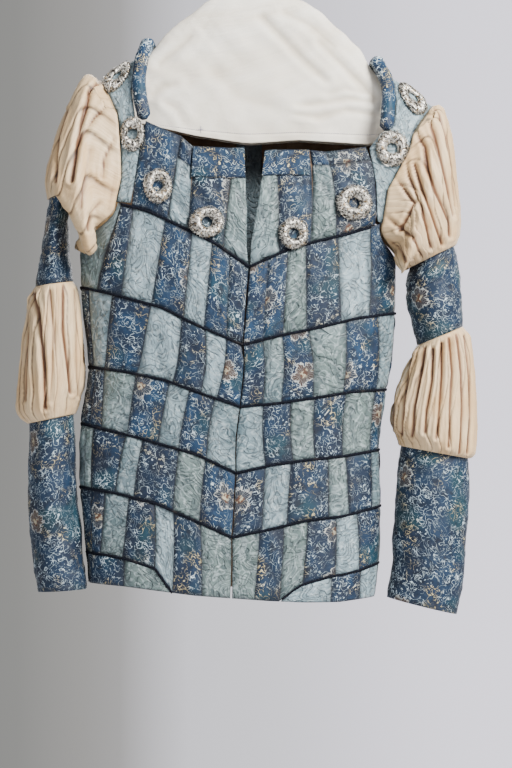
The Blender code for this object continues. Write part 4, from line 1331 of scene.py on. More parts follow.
def add_straps():
    for side_name in ("left", "right"):
        places = np.concatenate([np.linspace(0, 1, 9), np.linspace(1, 7, 31)[1:]])
        points = strap_rows(side_name, places, STRAP_COLUMNS)
        edge, beside = (0, 1) if abs(points[0, 0, 0]) > abs(points[0, -1, 0]) else (-1, -2)
        points[:, edge] += unit(points[:, edge] - points[:, beside]) * STRAP_REACH
        normal = normals_of(points)
        u, v = points[..., 0], points[..., 2] + points[..., 1]
        soft = ripple(u / 14, v / 30, SEEDS[f"strap_{side_name}"]) * 0.5
        share = np.linspace(0, 1, STRAP_COLUMNS)
        outer = points + normal * ((soft + 0.6) * rounded(share, 0.15)[None, :])[..., None]
        cloth = Cloth(f"strap_{side_name}_cloth")
        seam = np.broadcast_to(near_edge(share, 0.05) * 0.7, soft.shape)
        # The fold value is painted shade in the hollows of the waves
        fold = np.clip(-soft, 0, 1)
        cloth.strip(outer, points - normal * PANEL_WALL, "quilted_cloth", "lining", None, seam, fold)
        piece = dressed(cloth.made(), "quilted_cloth", f"strap_{side_name}")
        as_sheet(piece, "strap")


def add_neck_bands():
    for side_name in ("left", "right"):
        yoke = YOKES[side_name]
        first, last, height = yoke["band"]
        points, _ = yoke_points(side_name)
        columns = slice(PATCH_STEPS * first, PATCH_STEPS * last + 1)
        top = points[0, columns]
        down = unit(points[-1, columns] - top)
        shares = np.linspace(0, 1, BAND_ROWS)
        spots = [top + down * height * share for share in shares]
        rows = np.array([surface_at(spot[:, 0], spot[:, 2]) for spot in spots])
        away = normals_of(rows)
        full = rounded(shares, 0.2)[:, None]
        soft = ripple(rows[..., 0] / 12, rows[..., 2] / 30, SEEDS["neck_band"]) * 0.25
        low = rows + away * BAND_SEAT
        high = low + away * (BAND_WALL * (0.45 + 0.7 * full) + soft * full)[..., None]
        cloth = Cloth(f"neck_band_{side_name}_cloth")
        seam = np.broadcast_to(near_edge(shares, 0.07)[:, None] * 0.8, soft.shape)
        cloth.strip(high, low, "brocade", "lining", None, seam)
        piece = dressed(cloth.made(), "brocade", f"neck_band_{side_name}")
        as_sheet(piece, "neck_band")


def pleat_shape(share, count, seed):
    """Knife pleats of uneven width: a slow rise across each and a sharp fall to the next, and the line of
    painted shade where each meets the next."""
    dice = np.random.default_rng(seed)
    widths = dice.uniform(*PLEAT_WIDTHS, count)
    edges = np.concatenate([[0], np.cumsum(widths)]) / widths.sum()
    share = share % 1.0
    k = np.clip(np.searchsorted(edges, share, side="right") - 1, 0, count - 1)
    s = (share - edges[k]) / (edges[k + 1] - edges[k])
    heights = dice.uniform(*PLEAT_HEIGHTS, count)
    climbed = np.clip(s / PLEAT_CLIMB, 0, 1)
    rise = PLEAT_START + PLEAT_RISE[0] * climbed + PLEAT_RISE[1] * climbed**2
    fall = np.clip((1 - s) / PLEAT_FALL, 0, 1)
    line = np.maximum(np.clip(1 - s / 0.10, 0, 1), np.clip(1 - np.abs(s - 0.97) / 0.05, 0, 1))
    return np.minimum(rise, fall) * heights[k], line * heights[k]


def puffed(name, rings, fade, seed):
    """A puff's outside: pleats that wander a little, fine crinkles and the listed creases."""
    rows, columns = rings.shape[:2]
    normal = normals_of(rings, closed=True)
    around = np.arange(columns)[None, :] / columns
    along = np.linspace(0, 1, rows)[:, None]
    wander = ripple(along * 1.3, around * 0, seed + 3) * 0.012
    wander = wander + ripple(along * 2.5, around * 3, seed + 4) * 0.006
    pleat, line = pleat_shape(around + wander, PLEATS[name], seed)
    lean = around * 9 + along * 2.5
    sharp = 1 - 2 * np.abs(ripple(lean, along * 4, seed + 5, 3)) / 1.2
    fine = np.clip(sharp, -1, 1) * 0.3 + ripple(around * 34, along * 7, seed + 6) * 0.15
    kind = name.replace("_puff", "")
    deep = crease_depth(rings, CREASES[kind]) + crease_depth(rings * (1, -1, 1), CREASES[kind])
    spread = np.linalg.norm(np.gradient(rings, axis=0), axis=2)
    for _ in range(SPREAD_SMOOTHING):
        spread = (np.roll(spread, 1, axis=1) + spread + np.roll(spread, -1, axis=1)) / 3
    room = np.clip(spread / spread.mean() / CROWDING, CROWDED_LEAST, 1) ** CROWDED_POWER
    lift = (pleat * PLEAT_DEPTH[name] + fine - deep) * fade[:, None] * room
    # The fold value is painted shade in the pleats' hollows and the creases; the pleats' line is painted
    # shade where one pleat meets the next
    fold = np.clip((1 - pleat) ** 2 * 0.6 + deep / 4.0 - fine * 0.1 - 0.12, 0, 1) * fade[:, None]
    return rings + normal * lift[..., None], line * fade[:, None], fold


def sleeve_stack(side_name, part, angles):
    return np.array([section_ring(row, angles) for row in SLEEVES[side_name][part]])


def tube_rings(side_name, part, angles, count):
    return clear_of_body(resampled(sleeve_stack(side_name, part, angles), count), side_name)


def ring_angles(count, side_name):
    """Angles round a section, in the order that keeps the outside facing out."""
    return np.arange(count) * 2 * math.pi / count * sign_of(side_name) * -1


def hugging_ring(side_name, part, angles):
    """A ring that closes on a tube from outside, a little below the tube's top."""
    first, second = tube_rings(side_name, part, angles, 6 if part == "lower_sleeve" else 5)[:2]
    ring = (first + second) / 2
    away = ring - ring.mean(axis=0)
    return ring + unit(away) * (SLEEVE_WALL + HUG_CLEARANCE)


def add_puff(side_name, part, starts, end, angles):
    name = f"{part}_{side_name}"
    rings = np.concatenate([starts, sleeve_stack(side_name, part, angles), end[None]])
    rest = len(starts) - 1
    rings = np.concatenate([rings[:rest], resampled(rings[rest:], PUFF_ROWS)])
    if rest:
        rings = resampled(rings, PUFF_ROWS)
    along = np.linspace(0, 1, PUFF_ROWS)
    (start, start_power), (stop, stop_power) = PUFF_FADES
    fade = np.clip(along / start, 0, 1) ** start_power * np.clip((1 - along) / stop, 0, 1) ** stop_power
    seed = SEEDS["puff"] + sum(map(ord, name))
    outer, line, fold = puffed(name, rings, fade, seed)
    outer[1:-1] = clear_of_body(outer[1:-1], side_name, PUFF_CLEARANCE - 2)
    inner = rings - normals_of(rings, closed=True) * SLEEVE_WALL
    thin = outer - normals_of(outer, closed=True) * SLEEVE_WALL * 0.8
    inner[2:-2] = thin[2:-2]
    cloth = Cloth(f"{name}_silk")
    columns = np.arange(PUFF_COLUMNS + 1) * PUFF_CLOTH
    places = np.stack(np.broadcast_arrays(columns, -run_along(rings[:, :1], 0)), axis=-1)
    cloth.strip(outer, inner, "silk", "silk", places, line, fold, closed=True)
    piece = dressed(cloth.made(), "silk", name)
    as_sheet(piece, part)


def add_tube(side_name, part, node):
    """A plain sleeve tube with soft cross folds, and its cuff's opening if it has one."""
    angles = ring_angles(TUBE_COLUMNS, side_name)
    rings = tube_rings(side_name, part, angles, TUBE_ROWS)
    normal = normals_of(rings, closed=True)
    around = np.arange(TUBE_COLUMNS)[None, :] / TUBE_COLUMNS
    along = np.linspace(0, 1, TUBE_ROWS)[:, None]
    soft = 0
    for k, (turns, lengths, height) in enumerate(TUBE_WAVES):
        soft = soft + ripple(around * turns, along * lengths, SEEDS[part] + k) * height
    fade = np.minimum(1, np.minimum(along, 1 - along) / TUBE_FADE)
    outer = rings + normal * (soft * fade)[..., None]
    seam = np.zeros(soft.shape)
    # Painted shade on the tube's top, under the end of the puff
    seam[:2] = TUBE_TOP_SHADE
    seam[-3:-1] = TUBE_HEM_DARK
    if part == "lower_sleeve":
        column = int(TUBE_COLUMNS * VENT_SHARE[side_name])
        slit = np.clip((along[:, 0] - VENT_START) / VENT_FADE, 0, 1)
        # Painted shade in the cuff's opening
        seam[:, column] = np.maximum(seam[:, column], VENT_SHADE * slit)
        seam[:, int(TUBE_COLUMNS * SEAM_SHARE)] += TUBE_SEAM_DARK
        for offset, deep in VENT_DEPTHS:
            beside = (column + offset) % TUBE_COLUMNS
            outer[:, beside] -= normal[:, beside] * (slit * deep)[:, None]
    inner = outer - normal * SLEEVE_WALL
    cloth = Cloth(f"{node}_cloth")
    # The fold value is painted shade in the troughs of the waves
    fold = np.clip(-soft / 2, 0, 1)
    cloth.strip(outer, inner, "brocade", "lining", None, seam, fold, closed=True)
    piece = dressed(cloth.made(), "brocade", node)
    as_sheet(piece, part)


def add_sleeves():
    for side_name in ("left", "right"):
        add_tube(side_name, "upper_band", f"arm_band_{side_name}")
        add_tube(side_name, "lower_sleeve", f"lower_sleeve_{side_name}")
        fine = ring_angles(PUFF_COLUMNS, side_name)
        armhole = armhole_ring(side_name, fine)
        middle, half, depth = bodice_sizes(armhole[:, 2])
        away = np.stack([(armhole[:, 0] - middle) / half**2, armhole[:, 1] / depth**2, 0 * middle], axis=1)
        lifted = armhole + unit(away) * ARMHOLE_LIFT
        end = hugging_ring(side_name, "upper_band", fine)
        add_puff(side_name, "upper_puff", [armhole, lifted], end, fine)
        band = tube_rings(side_name, "upper_band", fine, 5)[-1] - (0, 0, SEAM_GAP)
        end = hugging_ring(side_name, "lower_sleeve", fine)
        add_puff(side_name, "elbow_puff", [band], end, fine)


def even_run(line, step):
    """Points at even steps along a line."""
    run = run_of(line)
    return spots_at(np.linspace(0, run[-1], max(int(run[-1] / step), 2)), run, line)


def braid_rings(line, out):
    """Rings of a twisted cord laid on cloth. Out gives the direction away from the cloth."""
    spots = even_run(line, BRAID_STEP)
    away = np.array([out(spot) for spot in spots])
    side = unit(np.cross(np.gradient(spots, axis=0), away))
    run = np.arange(len(spots)) * BRAID_STEP
    turn = np.arange(BRAID_SIDES) * 2 * math.pi / BRAID_SIDES
    rings = []
    for i, spot in enumerate(spots):
        lobe = 1 + BRAID_LOBE * np.cos(2 * (turn - run[i] * 2 * math.pi / BRAID_TWIST))
        ring = spot + side[i] * (np.cos(turn) * lobe * BRAID_WIDTH / 2)[:, None]
        lift = BRAID_SEAT + BRAID_RISE / 2 + np.sin(turn) * lobe * BRAID_RISE / 2
        rings.append(ring + away[i] * lift[:, None])
    return np.array(rings)


def tube_mesh(name, stacks, material):
    """Closed tubes through stacks of rings, joined into one piece."""
    points = []
    faces = []
    for rings in stacks:
        rows, sides = rings.shape[:2]
        start = sum(len(p) for p in points)
        points.append(rings.reshape(-1, 3))
        faces += (start + grid_faces(rows, sides, True)).reshape(-1, 4).tolist()
        faces.append([start + i for i in range(sides)])
        faces.append([start + (rows - 1) * sides + i for i in range(sides)])
    mesh = bpy.data.meshes.new(name)
    mesh.from_pydata((np.concatenate(points) * MM).tolist(), [], faces)
    return placed(name, mesh, [material])


def body_out(side):
    """The direction out of the bodice at a point of its front or back."""

    def out(spot):
        step = 1.0
        x, z = spot[0], spot[2]
        across = surface_at(x + step, z, side) - surface_at(x - step, z, side)
        down = surface_at(x, z - step, side) - surface_at(x, z + step, side)
        away = np.cross(across, down)
        away = away / max(np.linalg.norm(away), 1e-9)
        facing = np.array((x - bodice_sizes(z)[0], spot[1] * 4, 0.0))
        return away if away @ facing > 0 else -away

    return out


def add_braid(name, line, side, *nodes):
    """A braid along a seam of the front or the back. It stands for its node, if it has one."""
    rings = at_side(braid_rings(line, body_out(side)), side)
    dressed(tube_mesh(f"{name}_cord", [rings], "braid"), "braid", *nodes)


def add_braids():
    for side_name in ("left", "right"):
        for name, (points, _, _) in zip(LINE_NAMES, front_rows(side_name)):
            line = points[0, :-PATCH_STEPS] if name == "a" else points[0]
            add_braid(f"braid_{name}_{side_name}", line, -1, f"braid_{name}_{side_name}")
        line = low_row(side_name)[0][0]
        if side_name == "left":
            line = np.concatenate([surface_at(*LOW_SEAMS[side_name][0])[None], line])
        add_braid(f"braid_low_{side_name}", line, -1)
    shares = np.linspace(-1, 1, BACK_BRAID_POINTS)
    for name in LINE_NAMES[:-1]:
        z = back_line(name, shares)
        line = bodice_point(back_turns(z, shares), z, 1)
        line = line[2:-2] if name == "a" else line
        add_braid(f"braid_{name}_back", line, 1, f"braid_{name}_back")


def shoulder_point(x, down, lift):
    """A point above the shoulder's front slope, this far down the strap from its ridge."""
    ridge = np.interp(x, RIDGE[:, 0], RIDGE[:, 1])
    angle = down / SHOULDER_CURVE
    below = SHOULDER_DROP * (1 - np.cos(angle))
    point = surface_at(x, ridge - np.abs(below), -1)
    point[1] *= np.sign(angle) if angle else 0
    away = np.array((SHOULDER_SLOPE * np.sign(x) * math.cos(angle), -math.sin(angle), math.cos(angle)))
    return point + away / np.linalg.norm(away) * lift


def chest_point(x, z, lift):
    return surface_at(x, z) + body_out(-1)(surface_at(x, z)) * lift


def add_ring(name, spot_of, x, along, width, height, seat):
    """A wire ornament: a stuffed core with fine wire wound round it, and a few stray loops."""

    def spot(around, section, swell=1.0, reach=1.0):
        """A point of a flattened ring that follows the cloth under it."""
        share = 0.5 + 0.5 * math.cos(section) * swell
        dx = math.cos(around) * (RING_HOLE + (width * reach - RING_HOLE) * share) / 2
        dz = math.sin(around) * (RING_HOLE + (height * reach - RING_HOLE) * share) / 2
        lift = seat + RING_THICKNESS * (0.5 + 0.5 * math.sin(section) * swell)
        return spot_of(x + dx, along + dz, lift)

    dice = np.random.default_rng(sum(map(ord, name)))
    sections = np.arange(CORE_SIDES) * 2 * math.pi / CORE_SIDES
    core = []
    for a in np.arange(CORE_SECTIONS) * 2 * math.pi / CORE_SECTIONS:
        swell = CORE_FULLNESS + dice.uniform(-0.05, 0.05)
        core.append([spot(a, section, swell) for section in sections])
    core = np.array(core + core[:1])
    wire = []
    jitter = dice.uniform(-0.5, 0.5, WIRE_TURNS + 2)
    bumps = dice.uniform(0.84, 1.12, WIRE_TURNS + 2)
    for i in range(WIRE_TURNS * WIRE_POINTS):
        turn = i / WIRE_POINTS
        k = int(turn)
        mix = turn - k
        wound = turn + jitter[k] * (1 - mix) + jitter[k + 1] * mix
        around = 2 * math.pi * wound / WIRE_TURNS * WIRE_LAPS
        swell = bumps[k] * (1 - mix) + bumps[k + 1] * mix
        wire.append(spot(around, 2 * math.pi * mix, swell))
    wire = wire_rings(np.array(wire), WIRE_RADIUS)
    stray = []
    for _ in range(STRAY_LOOPS):
        a = dice.uniform(0, 2 * math.pi)
        spots = []
        for t in np.linspace(0, 1, STRAY_POINTS):
            reach = 1.0 + STRAY_REACH * math.sin(t * math.pi)
            spots.append(spot(a + t * STRAY_TURN, math.pi / 3, 1.0, reach))
        stray.append(wire_rings(np.array(spots), WIRE_RADIUS * 0.5))
    piece = tube_mesh(f"{name}_wire", [wire] + stray, "silver_thread")
    middle = tube_mesh(f"{name}_core", [core], "ring_core")
    dressed(piece, "silver_thread", name)
    dressed(middle, "silver_thread")


def rings_round(line, side, other, turn, radius):
    """Rings at the points of a line, each in the plane of its two directions."""
    c, s = np.cos(turn)[None, :, None], np.sin(turn)[None, :, None]
    return line[:, None] + (side[:, None] * c + other[:, None] * s) * radius


def wire_rings(line, radius):
    """Rings of a thin wire along a line."""
    ahead = unit(np.gradient(line, axis=0))
    side = unit(np.cross(ahead, WIRE_ACROSS))
    turn = np.arange(WIRE_SIDES) * 2 * math.pi / WIRE_SIDES
    return rings_round(line, side, np.cross(ahead, side), turn, radius)


def add_rings():
    for name, (x, z, width, height) in CHEST_RINGS.items():
        seat = STRAP_RING_SEAT if "strap" in name else CHEST_RING_SEAT
        add_ring(name, chest_point, x, z, width, height, seat)
    for name, (x, down, width, height) in SHOULDER_RINGS.items():
        add_ring(name, shoulder_point, x, down, width, height, STRAP_RING_SEAT)


def add_neck_rolls():
    for name, spots in NECK_ROLLS.items():
        path = np.array(spots, float)
        inner = path[1:-1]
        curve = smooth(np.arange(len(inner)), inner, np.linspace(0, len(inner) - 1, 40))
        last = path[-1] + (path[-1] - path[-2]) * ROLL_REACH[name]
        line = even_run(np.concatenate([path[:1], curve, path[-1:], last[None]]), ROLL_STEP)
        ahead = unit(np.gradient(line, axis=0))
        side = unit(np.cross(ahead, ROLL_UP["back" if "back" in name else "front"]))
        turn = np.arange(ROLL_SIDES) * 2 * math.pi / ROLL_SIDES
        run = np.arange(len(line))[:, None] * ROLL_STEP
        swell = ROLL_RADIUS + ripple(run / 26, turn[None, :] / 2.5, SEEDS["roll"]) * 0.45
        swell = swell + ripple(run / 9, turn[None, :], SEEDS["roll"] + 1) * 0.25
        swell = swell - ROLL_SEAM_DEPTH * np.exp(-(((turn - ROLL_SEAM) / ROLL_SEAM_REACH) ** 2))[None, :]
        end = np.clip(np.minimum(run, run[-1] - run) / ROLL_END, ROLL_END_LEAST, 1) ** 0.5
        rings = rings_round(line, side, np.cross(side, ahead), turn, (swell * end)[..., None])
        cloth = roll_piece(f"{name}_cloth", rings, turn)
        dressed(cloth, "brocade", name)


def roll_piece(name, rings, turn):
    """A stuffed roll as one closed piece, with a dark seam along it."""
    rows, sides = rings.shape[:2]
    piece = tube_mesh(name, [rings], "brocade")
    flat = piece.data.uv_layers.new(name="cloth")
    run = run_along(rings[:, :1], 0)[:, 0]
    for face in piece.data.polygons:
        corners = [piece.data.loops[loop].vertex_index for loop in face.loop_indices]
        last = any(vertex % sides == sides - 1 for vertex in corners)
        for loop, vertex in zip(face.loop_indices, corners):
            row, column = vertex // sides, vertex % sides
            column = sides if column == 0 and last else column
            across = column * 2 * math.pi * ROLL_RADIUS / sides * MM
            flat.uv[loop].vector = (across + ROLL_CUT, run[row] * MM)
    seam = np.tile(np.exp(-(((turn - ROLL_SEAM) / 0.2) ** 2)) * 0.8, rows)
    give_values(piece.data, {"seam": seam, "fold": seam * 0})
    return piece


def add_hanger():
    angles = np.arange(COVER_COLUMNS) * 2 * math.pi / COVER_COLUMNS
    heights = smooth(np.arange(len(COVER)), COVER[:, 0], np.linspace(0, len(COVER) - 1, COVER_ROWS))
    sizes = np.stack([np.interp(-heights, -COVER[:, 0], COVER[:, c]) for c in (1, 2, 3)], axis=1)
    c, s = np.cos(angles), np.sin(angles)
    rings = []
    for z, (left, right, depth) in zip(heights, sizes):
        middle, half = (left + right) / 2, (right - left) / 2
        x = middle + half * np.sign(c) * np.abs(c) ** COVER_SQUARENESS
        y = depth * np.sign(s) * np.abs(s) ** COVER_SQUARENESS
        rings.append(np.stack([x, y, z + 0 * x], axis=1))
    last = rings[-1]
    places = np.array(COVER_HEM, float)
    drop = np.interp(last[:, 0], places[:, 0], places[:, 1]) - last[:, 2]
    for share in np.linspace(0, 1, COVER_DROP_ROWS + 1)[1:]:
        ring = last.copy()
        ring[:, 2] += drop * share
        rings.append(ring)
    rings = np.array(rings)
    rows = len(rings)
    normal = normals_of(rings, closed=True)
    x, z = rings[..., 0], rings[..., 2]
    soft = waves(x, z, SEEDS["cover"], COVER_WAVES)
    turned = rings * (-1, -1, 1) + (COVER_TWICE_MIDDLE, 0, 0)
    deep = crease_depth(rings, CREASES["cover"]) + crease_depth(turned, CREASES["cover"])
    fade = np.clip(np.arange(rows) / COVER_FADE_ROWS, 0, 1)[:, None]
    lift = (soft - deep * COVER_CREASE) * fade
    hem = np.clip(np.arange(rows) - rows + HEM_ROWS, 0, 1)[:, None] * HEM_THICKNESS
    outer = rings + normal * (lift + hem)[..., None]
    outer[..., 1] = np.where(np.abs(outer[..., 1]) < COVER_EDGE, rings[..., 1], outer[..., 1])
    inner = outer - normal * COVER_WALL
    side_seam = np.exp(-((np.sin(angles) / COVER_SIDE_SEAM) ** 2))[None, :] * 0.5
    cloth = Cloth("hanger_cover_cloth")
    # The fold value is painted shade in the creases, in the waves' troughs and over the cover's low part
    low = np.clip((z - COVER_SHADE_Z) / -60, 0, 1)
    fold = np.clip(deep / 2.2 - soft / 5 + low * 0.25, 0, 1)
    cloth.strip(outer, inner, "calico", "calico", None, side_seam + 0 * x, fold, closed=True)
    piece = dressed(cloth.made(), "calico", "hanger_cover")
    as_sheet(piece, "cover")
    add_hem_stitches(outer[-HEM_ROWS - 1])
    for node, material in (("hanger_bar", "wood"), ("hanger_hook", "steel_wire")):
        carried = frame["nodes"][node]
        carried.data.materials.clear()
        carried.data.materials.append(bpy.data.materials[material])


def add_hem_stitches(ring):
    """Short thread stitches along the cover's hem, and a small cross mark at the left."""
    loop = even_run(np.concatenate([ring, ring[:1]]), STITCH_STEP)
    stacks = []
    for a, b in zip(loop[:-1], loop[1:]):
        middle = (a + b) / 2
        away = np.sign(middle) * ((0, 1, 0) if abs(middle[1]) > STITCH_TURN else (1, 0, 0))
        half = (b - a) * STITCH_HALF
        spots = np.array([middle - half, middle, middle + half])
        stacks.append(wire_rings(spots + away * STITCH_LIFTS, STITCH_RADIUS))
    front = ring[np.argmin(np.abs(ring[:, 0] - MARK_X) + 1000 * (ring[:, 1] > 0))]
    for dx, dz in ((0, 4), (3, 0)):
        spots = front + np.array([(-dx, -0.8, 1 - dz), (0, -1.0, 1), (dx, -0.8, 1 + dz)])
        stacks.append(wire_rings(spots, MARK_RADIUS))
    dressed(tube_mesh("hanger_cover_stitches", stacks, "thread"), "calico")


class Nodes:
    """A material's node tree, with short ways to add and join its nodes."""

    def __init__(self, name):
        self.material = bpy.data.materials.new(name)
        self.material.use_nodes = True
        self.tree = self.material.node_tree
        self.shader = self.tree.nodes["Principled BSDF"]
        self.place = self.add("ShaderNodeUVMap", uv_map="cloth").outputs["UV"]

    def add(self, kind, **settings):
        node = self.tree.nodes.new(kind)
        for key, value in settings.items():
            setattr(node, key, value)
        return node

    def join(self, source, target):
        if isinstance(source, bpy.types.NodeSocket):
            self.tree.links.new(source, target)
        else:
            target.default_value = source

    def fill(self, node, **inputs):
        """Joins or sets a node's inputs by their names, with _ for a space."""
        for key, value in inputs.items():
            self.join(value, node.inputs[key.replace("_", " ")])
        return node

    def math(self, operation, a, b=0.0):
        node = self.add("ShaderNodeMath", operation=operation)
        self.join(a, node.inputs[0])
        self.join(b, node.inputs[1])
        return node.outputs[0]

    def times(self, a, b):
        return self.math("MULTIPLY", a, b)

    def plus(self, a, b):
        return self.math("ADD", a, b)

    def less(self, a, b):
        return self.math("SUBTRACT", a, b)

    def larger(self, a, b):
        return self.math("MAXIMUM", a, b)

    def tint(self, base, colour, share, part):
        """The base with this part of a colour laid over it where the share is 1."""
        return self.mix(self.times(share, part), base, colour)

    def vector(self, operation, a, b=(0, 0, 0)):
        node = self.add("ShaderNodeVectorMath", operation=operation)
        self.join(a, node.inputs[0])
        self.join(b, node.inputs[1])
        return node.outputs["Value"] if operation in ("LENGTH", "DISTANCE") else node.outputs[0]

    def shifted(self, x, y):
        """Places moved along the cloth, so that one noise isn't like the next."""
        return self.vector("ADD", self.place, (x, y, 0))

    def scaled(self, by):
        """Places stretched or shrunk along each direction, for streaks and grain."""
        return self.fill(self.add("ShaderNodeMapping"), Vector=self.place, Scale=by).outputs[0]

    def noise(self, scale, detail=2.0, rough=0.5, warp=0.0, at=None):
        node = self.add("ShaderNodeTexNoise", noise_dimensions="3D")
        place = self.place if at is None else at
        self.fill(node, Vector=place, Scale=scale, Detail=detail, Roughness=rough, Distortion=warp)
        return node.outputs["Fac"]

    def between(self, value, low, high, to_low=0.0, to_high=1.0):
        """A smooth step of a value between two limits, to the range from to_low to to_high."""
        node = self.add("ShaderNodeMapRange", interpolation_type="SMOOTHSTEP")
        limits = {"From_Min": low, "From_Max": high, "To_Min": to_low, "To_Max": to_high}
        return self.fill(node, Value=value, **limits).outputs[0]

    def mix(self, share, a, b):
        node = self.add("ShaderNodeMix", data_type="RGBA")
        self.join(share, node.inputs["Factor"])
        for socket, value in ((node.inputs[6], a), (node.inputs[7], b)):
            self.join(value if isinstance(value, bpy.types.NodeSocket) else (*value, 1), socket)
        return node.outputs[2]

    def value_of(self, name):
        return self.add("ShaderNodeAttribute", attribute_name=name).outputs["Fac"]

    def curls(self, scale, bands, width, warp, at=None):
        """Thin winding lines: the contours of a soft noise."""
        level = self.math("FRACT", self.times(self.noise(scale, 0.0, 0.4, warp, at), bands))
        away = self.math("ABSOLUTE", self.less(level, 0.5))
        return self.between(away, width * 0.4, width, 1.0, 0.0)

    def bump(self, height, strength, distance, below=None):
        node = self.fill(self.add("ShaderNodeBump"), Strength=strength, Distance=distance, Height=height)
        if below is not None:
            self.fill(node, Normal=below)
        return node.outputs[0]

    def finish(self, colour, roughness, normal, **constants):
        self.fill(self.shader, Base_Color=colour, Roughness=roughness, **constants)
        if normal is not None:
            self.fill(self.shader, Normal=normal)


def weave(nodes, pitch):
    """Height of a plain weave: threads over and under at this pitch."""
    u = nodes.add("ShaderNodeTexWave", wave_type="BANDS", bands_direction="X")
    v = nodes.add("ShaderNodeTexWave", wave_type="BANDS", bands_direction="Y")
    for node in (u, v):
        nodes.fill(node, Vector=nodes.place, Scale=1 / pitch / 3.2, Distortion=0.6)
    return nodes.plus(nodes.times(u.outputs["Fac"], 0.5), nodes.times(v.outputs["Fac"], 0.5))


def flowers(nodes, scale, size, chance):
    """Scattered five-petalled flowers: how much of one is here, its rim, its veins, its heart and
    which kind it is."""
    cells = nodes.add("ShaderNodeTexVoronoi", voronoi_dimensions="2D", feature="F1")
    nodes.fill(cells, Vector=nodes.place, Scale=scale, Randomness=0.75)
    split = nodes.add("ShaderNodeSeparateXYZ")
    nodes.join(nodes.vector("SUBTRACT", nodes.place, cells.outputs["Position"]), split.inputs[0])
    dice = nodes.add("ShaderNodeSeparateColor")
    nodes.join(cells.outputs["Color"], dice.inputs[0])
    turn = nodes.math("ARCTAN2", split.outputs[1], split.outputs[0])
    turn = nodes.plus(turn, nodes.times(dice.outputs[1], 6.0))
    petals = nodes.math("ABSOLUTE", nodes.math("COSINE", nodes.times(turn, PETALS / 2)))
    petals = nodes.math("POWER", petals, 0.5)
    flat = nodes.add("ShaderNodeCombineXYZ")
    nodes.join(split.outputs[0], flat.inputs[0])
    nodes.join(split.outputs[1], flat.inputs[1])
    reach = nodes.vector("LENGTH", flat.outputs[0])
    ragged = nodes.times(nodes.less(nodes.noise(260, 2.0), 0.5), 0.012)
    edge = nodes.times(nodes.plus(nodes.times(petals, 0.45), 0.6), size)
    gap = nodes.plus(nodes.less(reach, edge), ragged)
    here = nodes.math("GREATER_THAN", dice.outputs[0], 1 - chance)
    inside = nodes.times(nodes.between(gap, -0.001, 0.0006, 1.0, 0.0), here)
    rim = nodes.math("ABSOLUTE", nodes.plus(gap, 0.0008))
    rim = nodes.times(nodes.between(rim, 0.0003, 0.0012, 1.0, 0.0), here)
    veins = nodes.between(nodes.math("COSINE", nodes.times(turn, VEINS)), 0.55, 0.95)
    heart = nodes.times(nodes.between(nodes.plus(reach, ragged), size * 0.28, size * 0.4, 1.0, 0.0), here)
    return inside, rim, veins, heart, dice.outputs[2]


def make_brocade():
    """Blue brocade with winding silver threads, teal areas and scattered flowers."""
    n = Nodes("brocade")
    tone = n.noise(26, 3.0, 0.6)
    blue = n.mix(n.between(tone, 0.35, 0.65), (0.002, 0.014, 0.042), (0.004, 0.043, 0.108))
    patch = n.between(n.noise(1.7, 0.0, 0.5, at=n.shifted(0.7, 0.2)), 0.42, 0.62)
    blue = n.tint(blue, (0.002, 0.008, 0.022), patch, 0.55)
    teal = n.between(n.noise(19, 1.0, 0.5, at=n.shifted(3.1, 1.7)), 0.54, 0.68)
    blue = n.tint(blue, (0.003, 0.055, 0.066), teal, 0.5)
    dark = n.between(n.noise(70, 2.0, 0.6), 0.52, 0.68)
    blue = n.tint(blue, (0.001, 0.004, 0.012), dark, 0.75)
    first = n.curls(110, 3.3, 0.080, 1.1)
    second = n.curls(140, 2.9, 0.08, 1.3, at=n.shifted(7.3, 2.9))
    broken = n.between(n.noise(120, 1.0, 0.5, at=n.shifted(1.3, 9.9)), 0.4, 0.45)
    other = n.between(n.noise(110, 1.0, 0.5, at=n.shifted(5.3, 4.9)), 0.46, 0.5)
    lines = n.larger(n.times(first, broken), n.times(second, other))
    bright = n.between(n.noise(30, 2.0, 0.6, at=n.shifted(2.2, 0.4)), 0.35, 0.6, 0.3, 1.0)
    silver = n.mix(n.between(n.noise(33, 1.0), 0.52, 0.66), (0.62, 0.76, 0.84), (0.76, 0.64, 0.36))
    colour = n.mix(n.times(lines, bright), blue, silver)
    inside, rim, veins, heart, kind = flowers(n, 17.0, 0.0135, 0.42)
    petal = n.mix(n.between(kind, 0.30, 0.50), (0.060, 0.024, 0.010), (0.002, 0.008, 0.026))
    petal = n.tint(petal, (0.5, 0.5, 0.44), veins, 0.55)
    colour = n.tint(colour, petal, inside, 0.85)
    colour = n.tint(colour, (0.7, 0.72, 0.68), rim, 0.85)
    cream = n.mix(n.between(n.noise(230, 1.0), 0.45, 0.55), (0.62, 0.55, 0.38), (0.13, 0.05, 0.02))
    colour = n.tint(colour, cream, heart, 0.9)
    thread = n.noise(900, 1.0, 0.6)
    colour = n.mix(n.between(thread, 0.3, 0.7, 0.0, 0.35), colour, (0.002, 0.005, 0.014))
    # Dark seam lines, with painted shade beside the seams, on the tubes' tops under the puffs and in the
    # cuffs' openings; then painted shade in folds and hollows
    colour = n.tint(colour, (0.001, 0.002, 0.005), n.value_of("seam"), 0.95)
    colour = n.tint(colour, (0.002, 0.006, 0.018), n.value_of("fold"), 0.6)
    height = n.plus(n.times(lines, 0.7), n.times(n.noise(120, 2.0), 1.2))
    normal = n.bump(thread, 0.5, 0.0005, n.bump(height, 0.8, 0.0012))
    rough = n.between(n.larger(lines, rim), 0.0, 1.0, 0.62, 0.3)
    n.finish(colour, rough, normal, Sheen_Weight=0.04, Sheen_Roughness=0.4, Specular_IOR_Level=0.4)


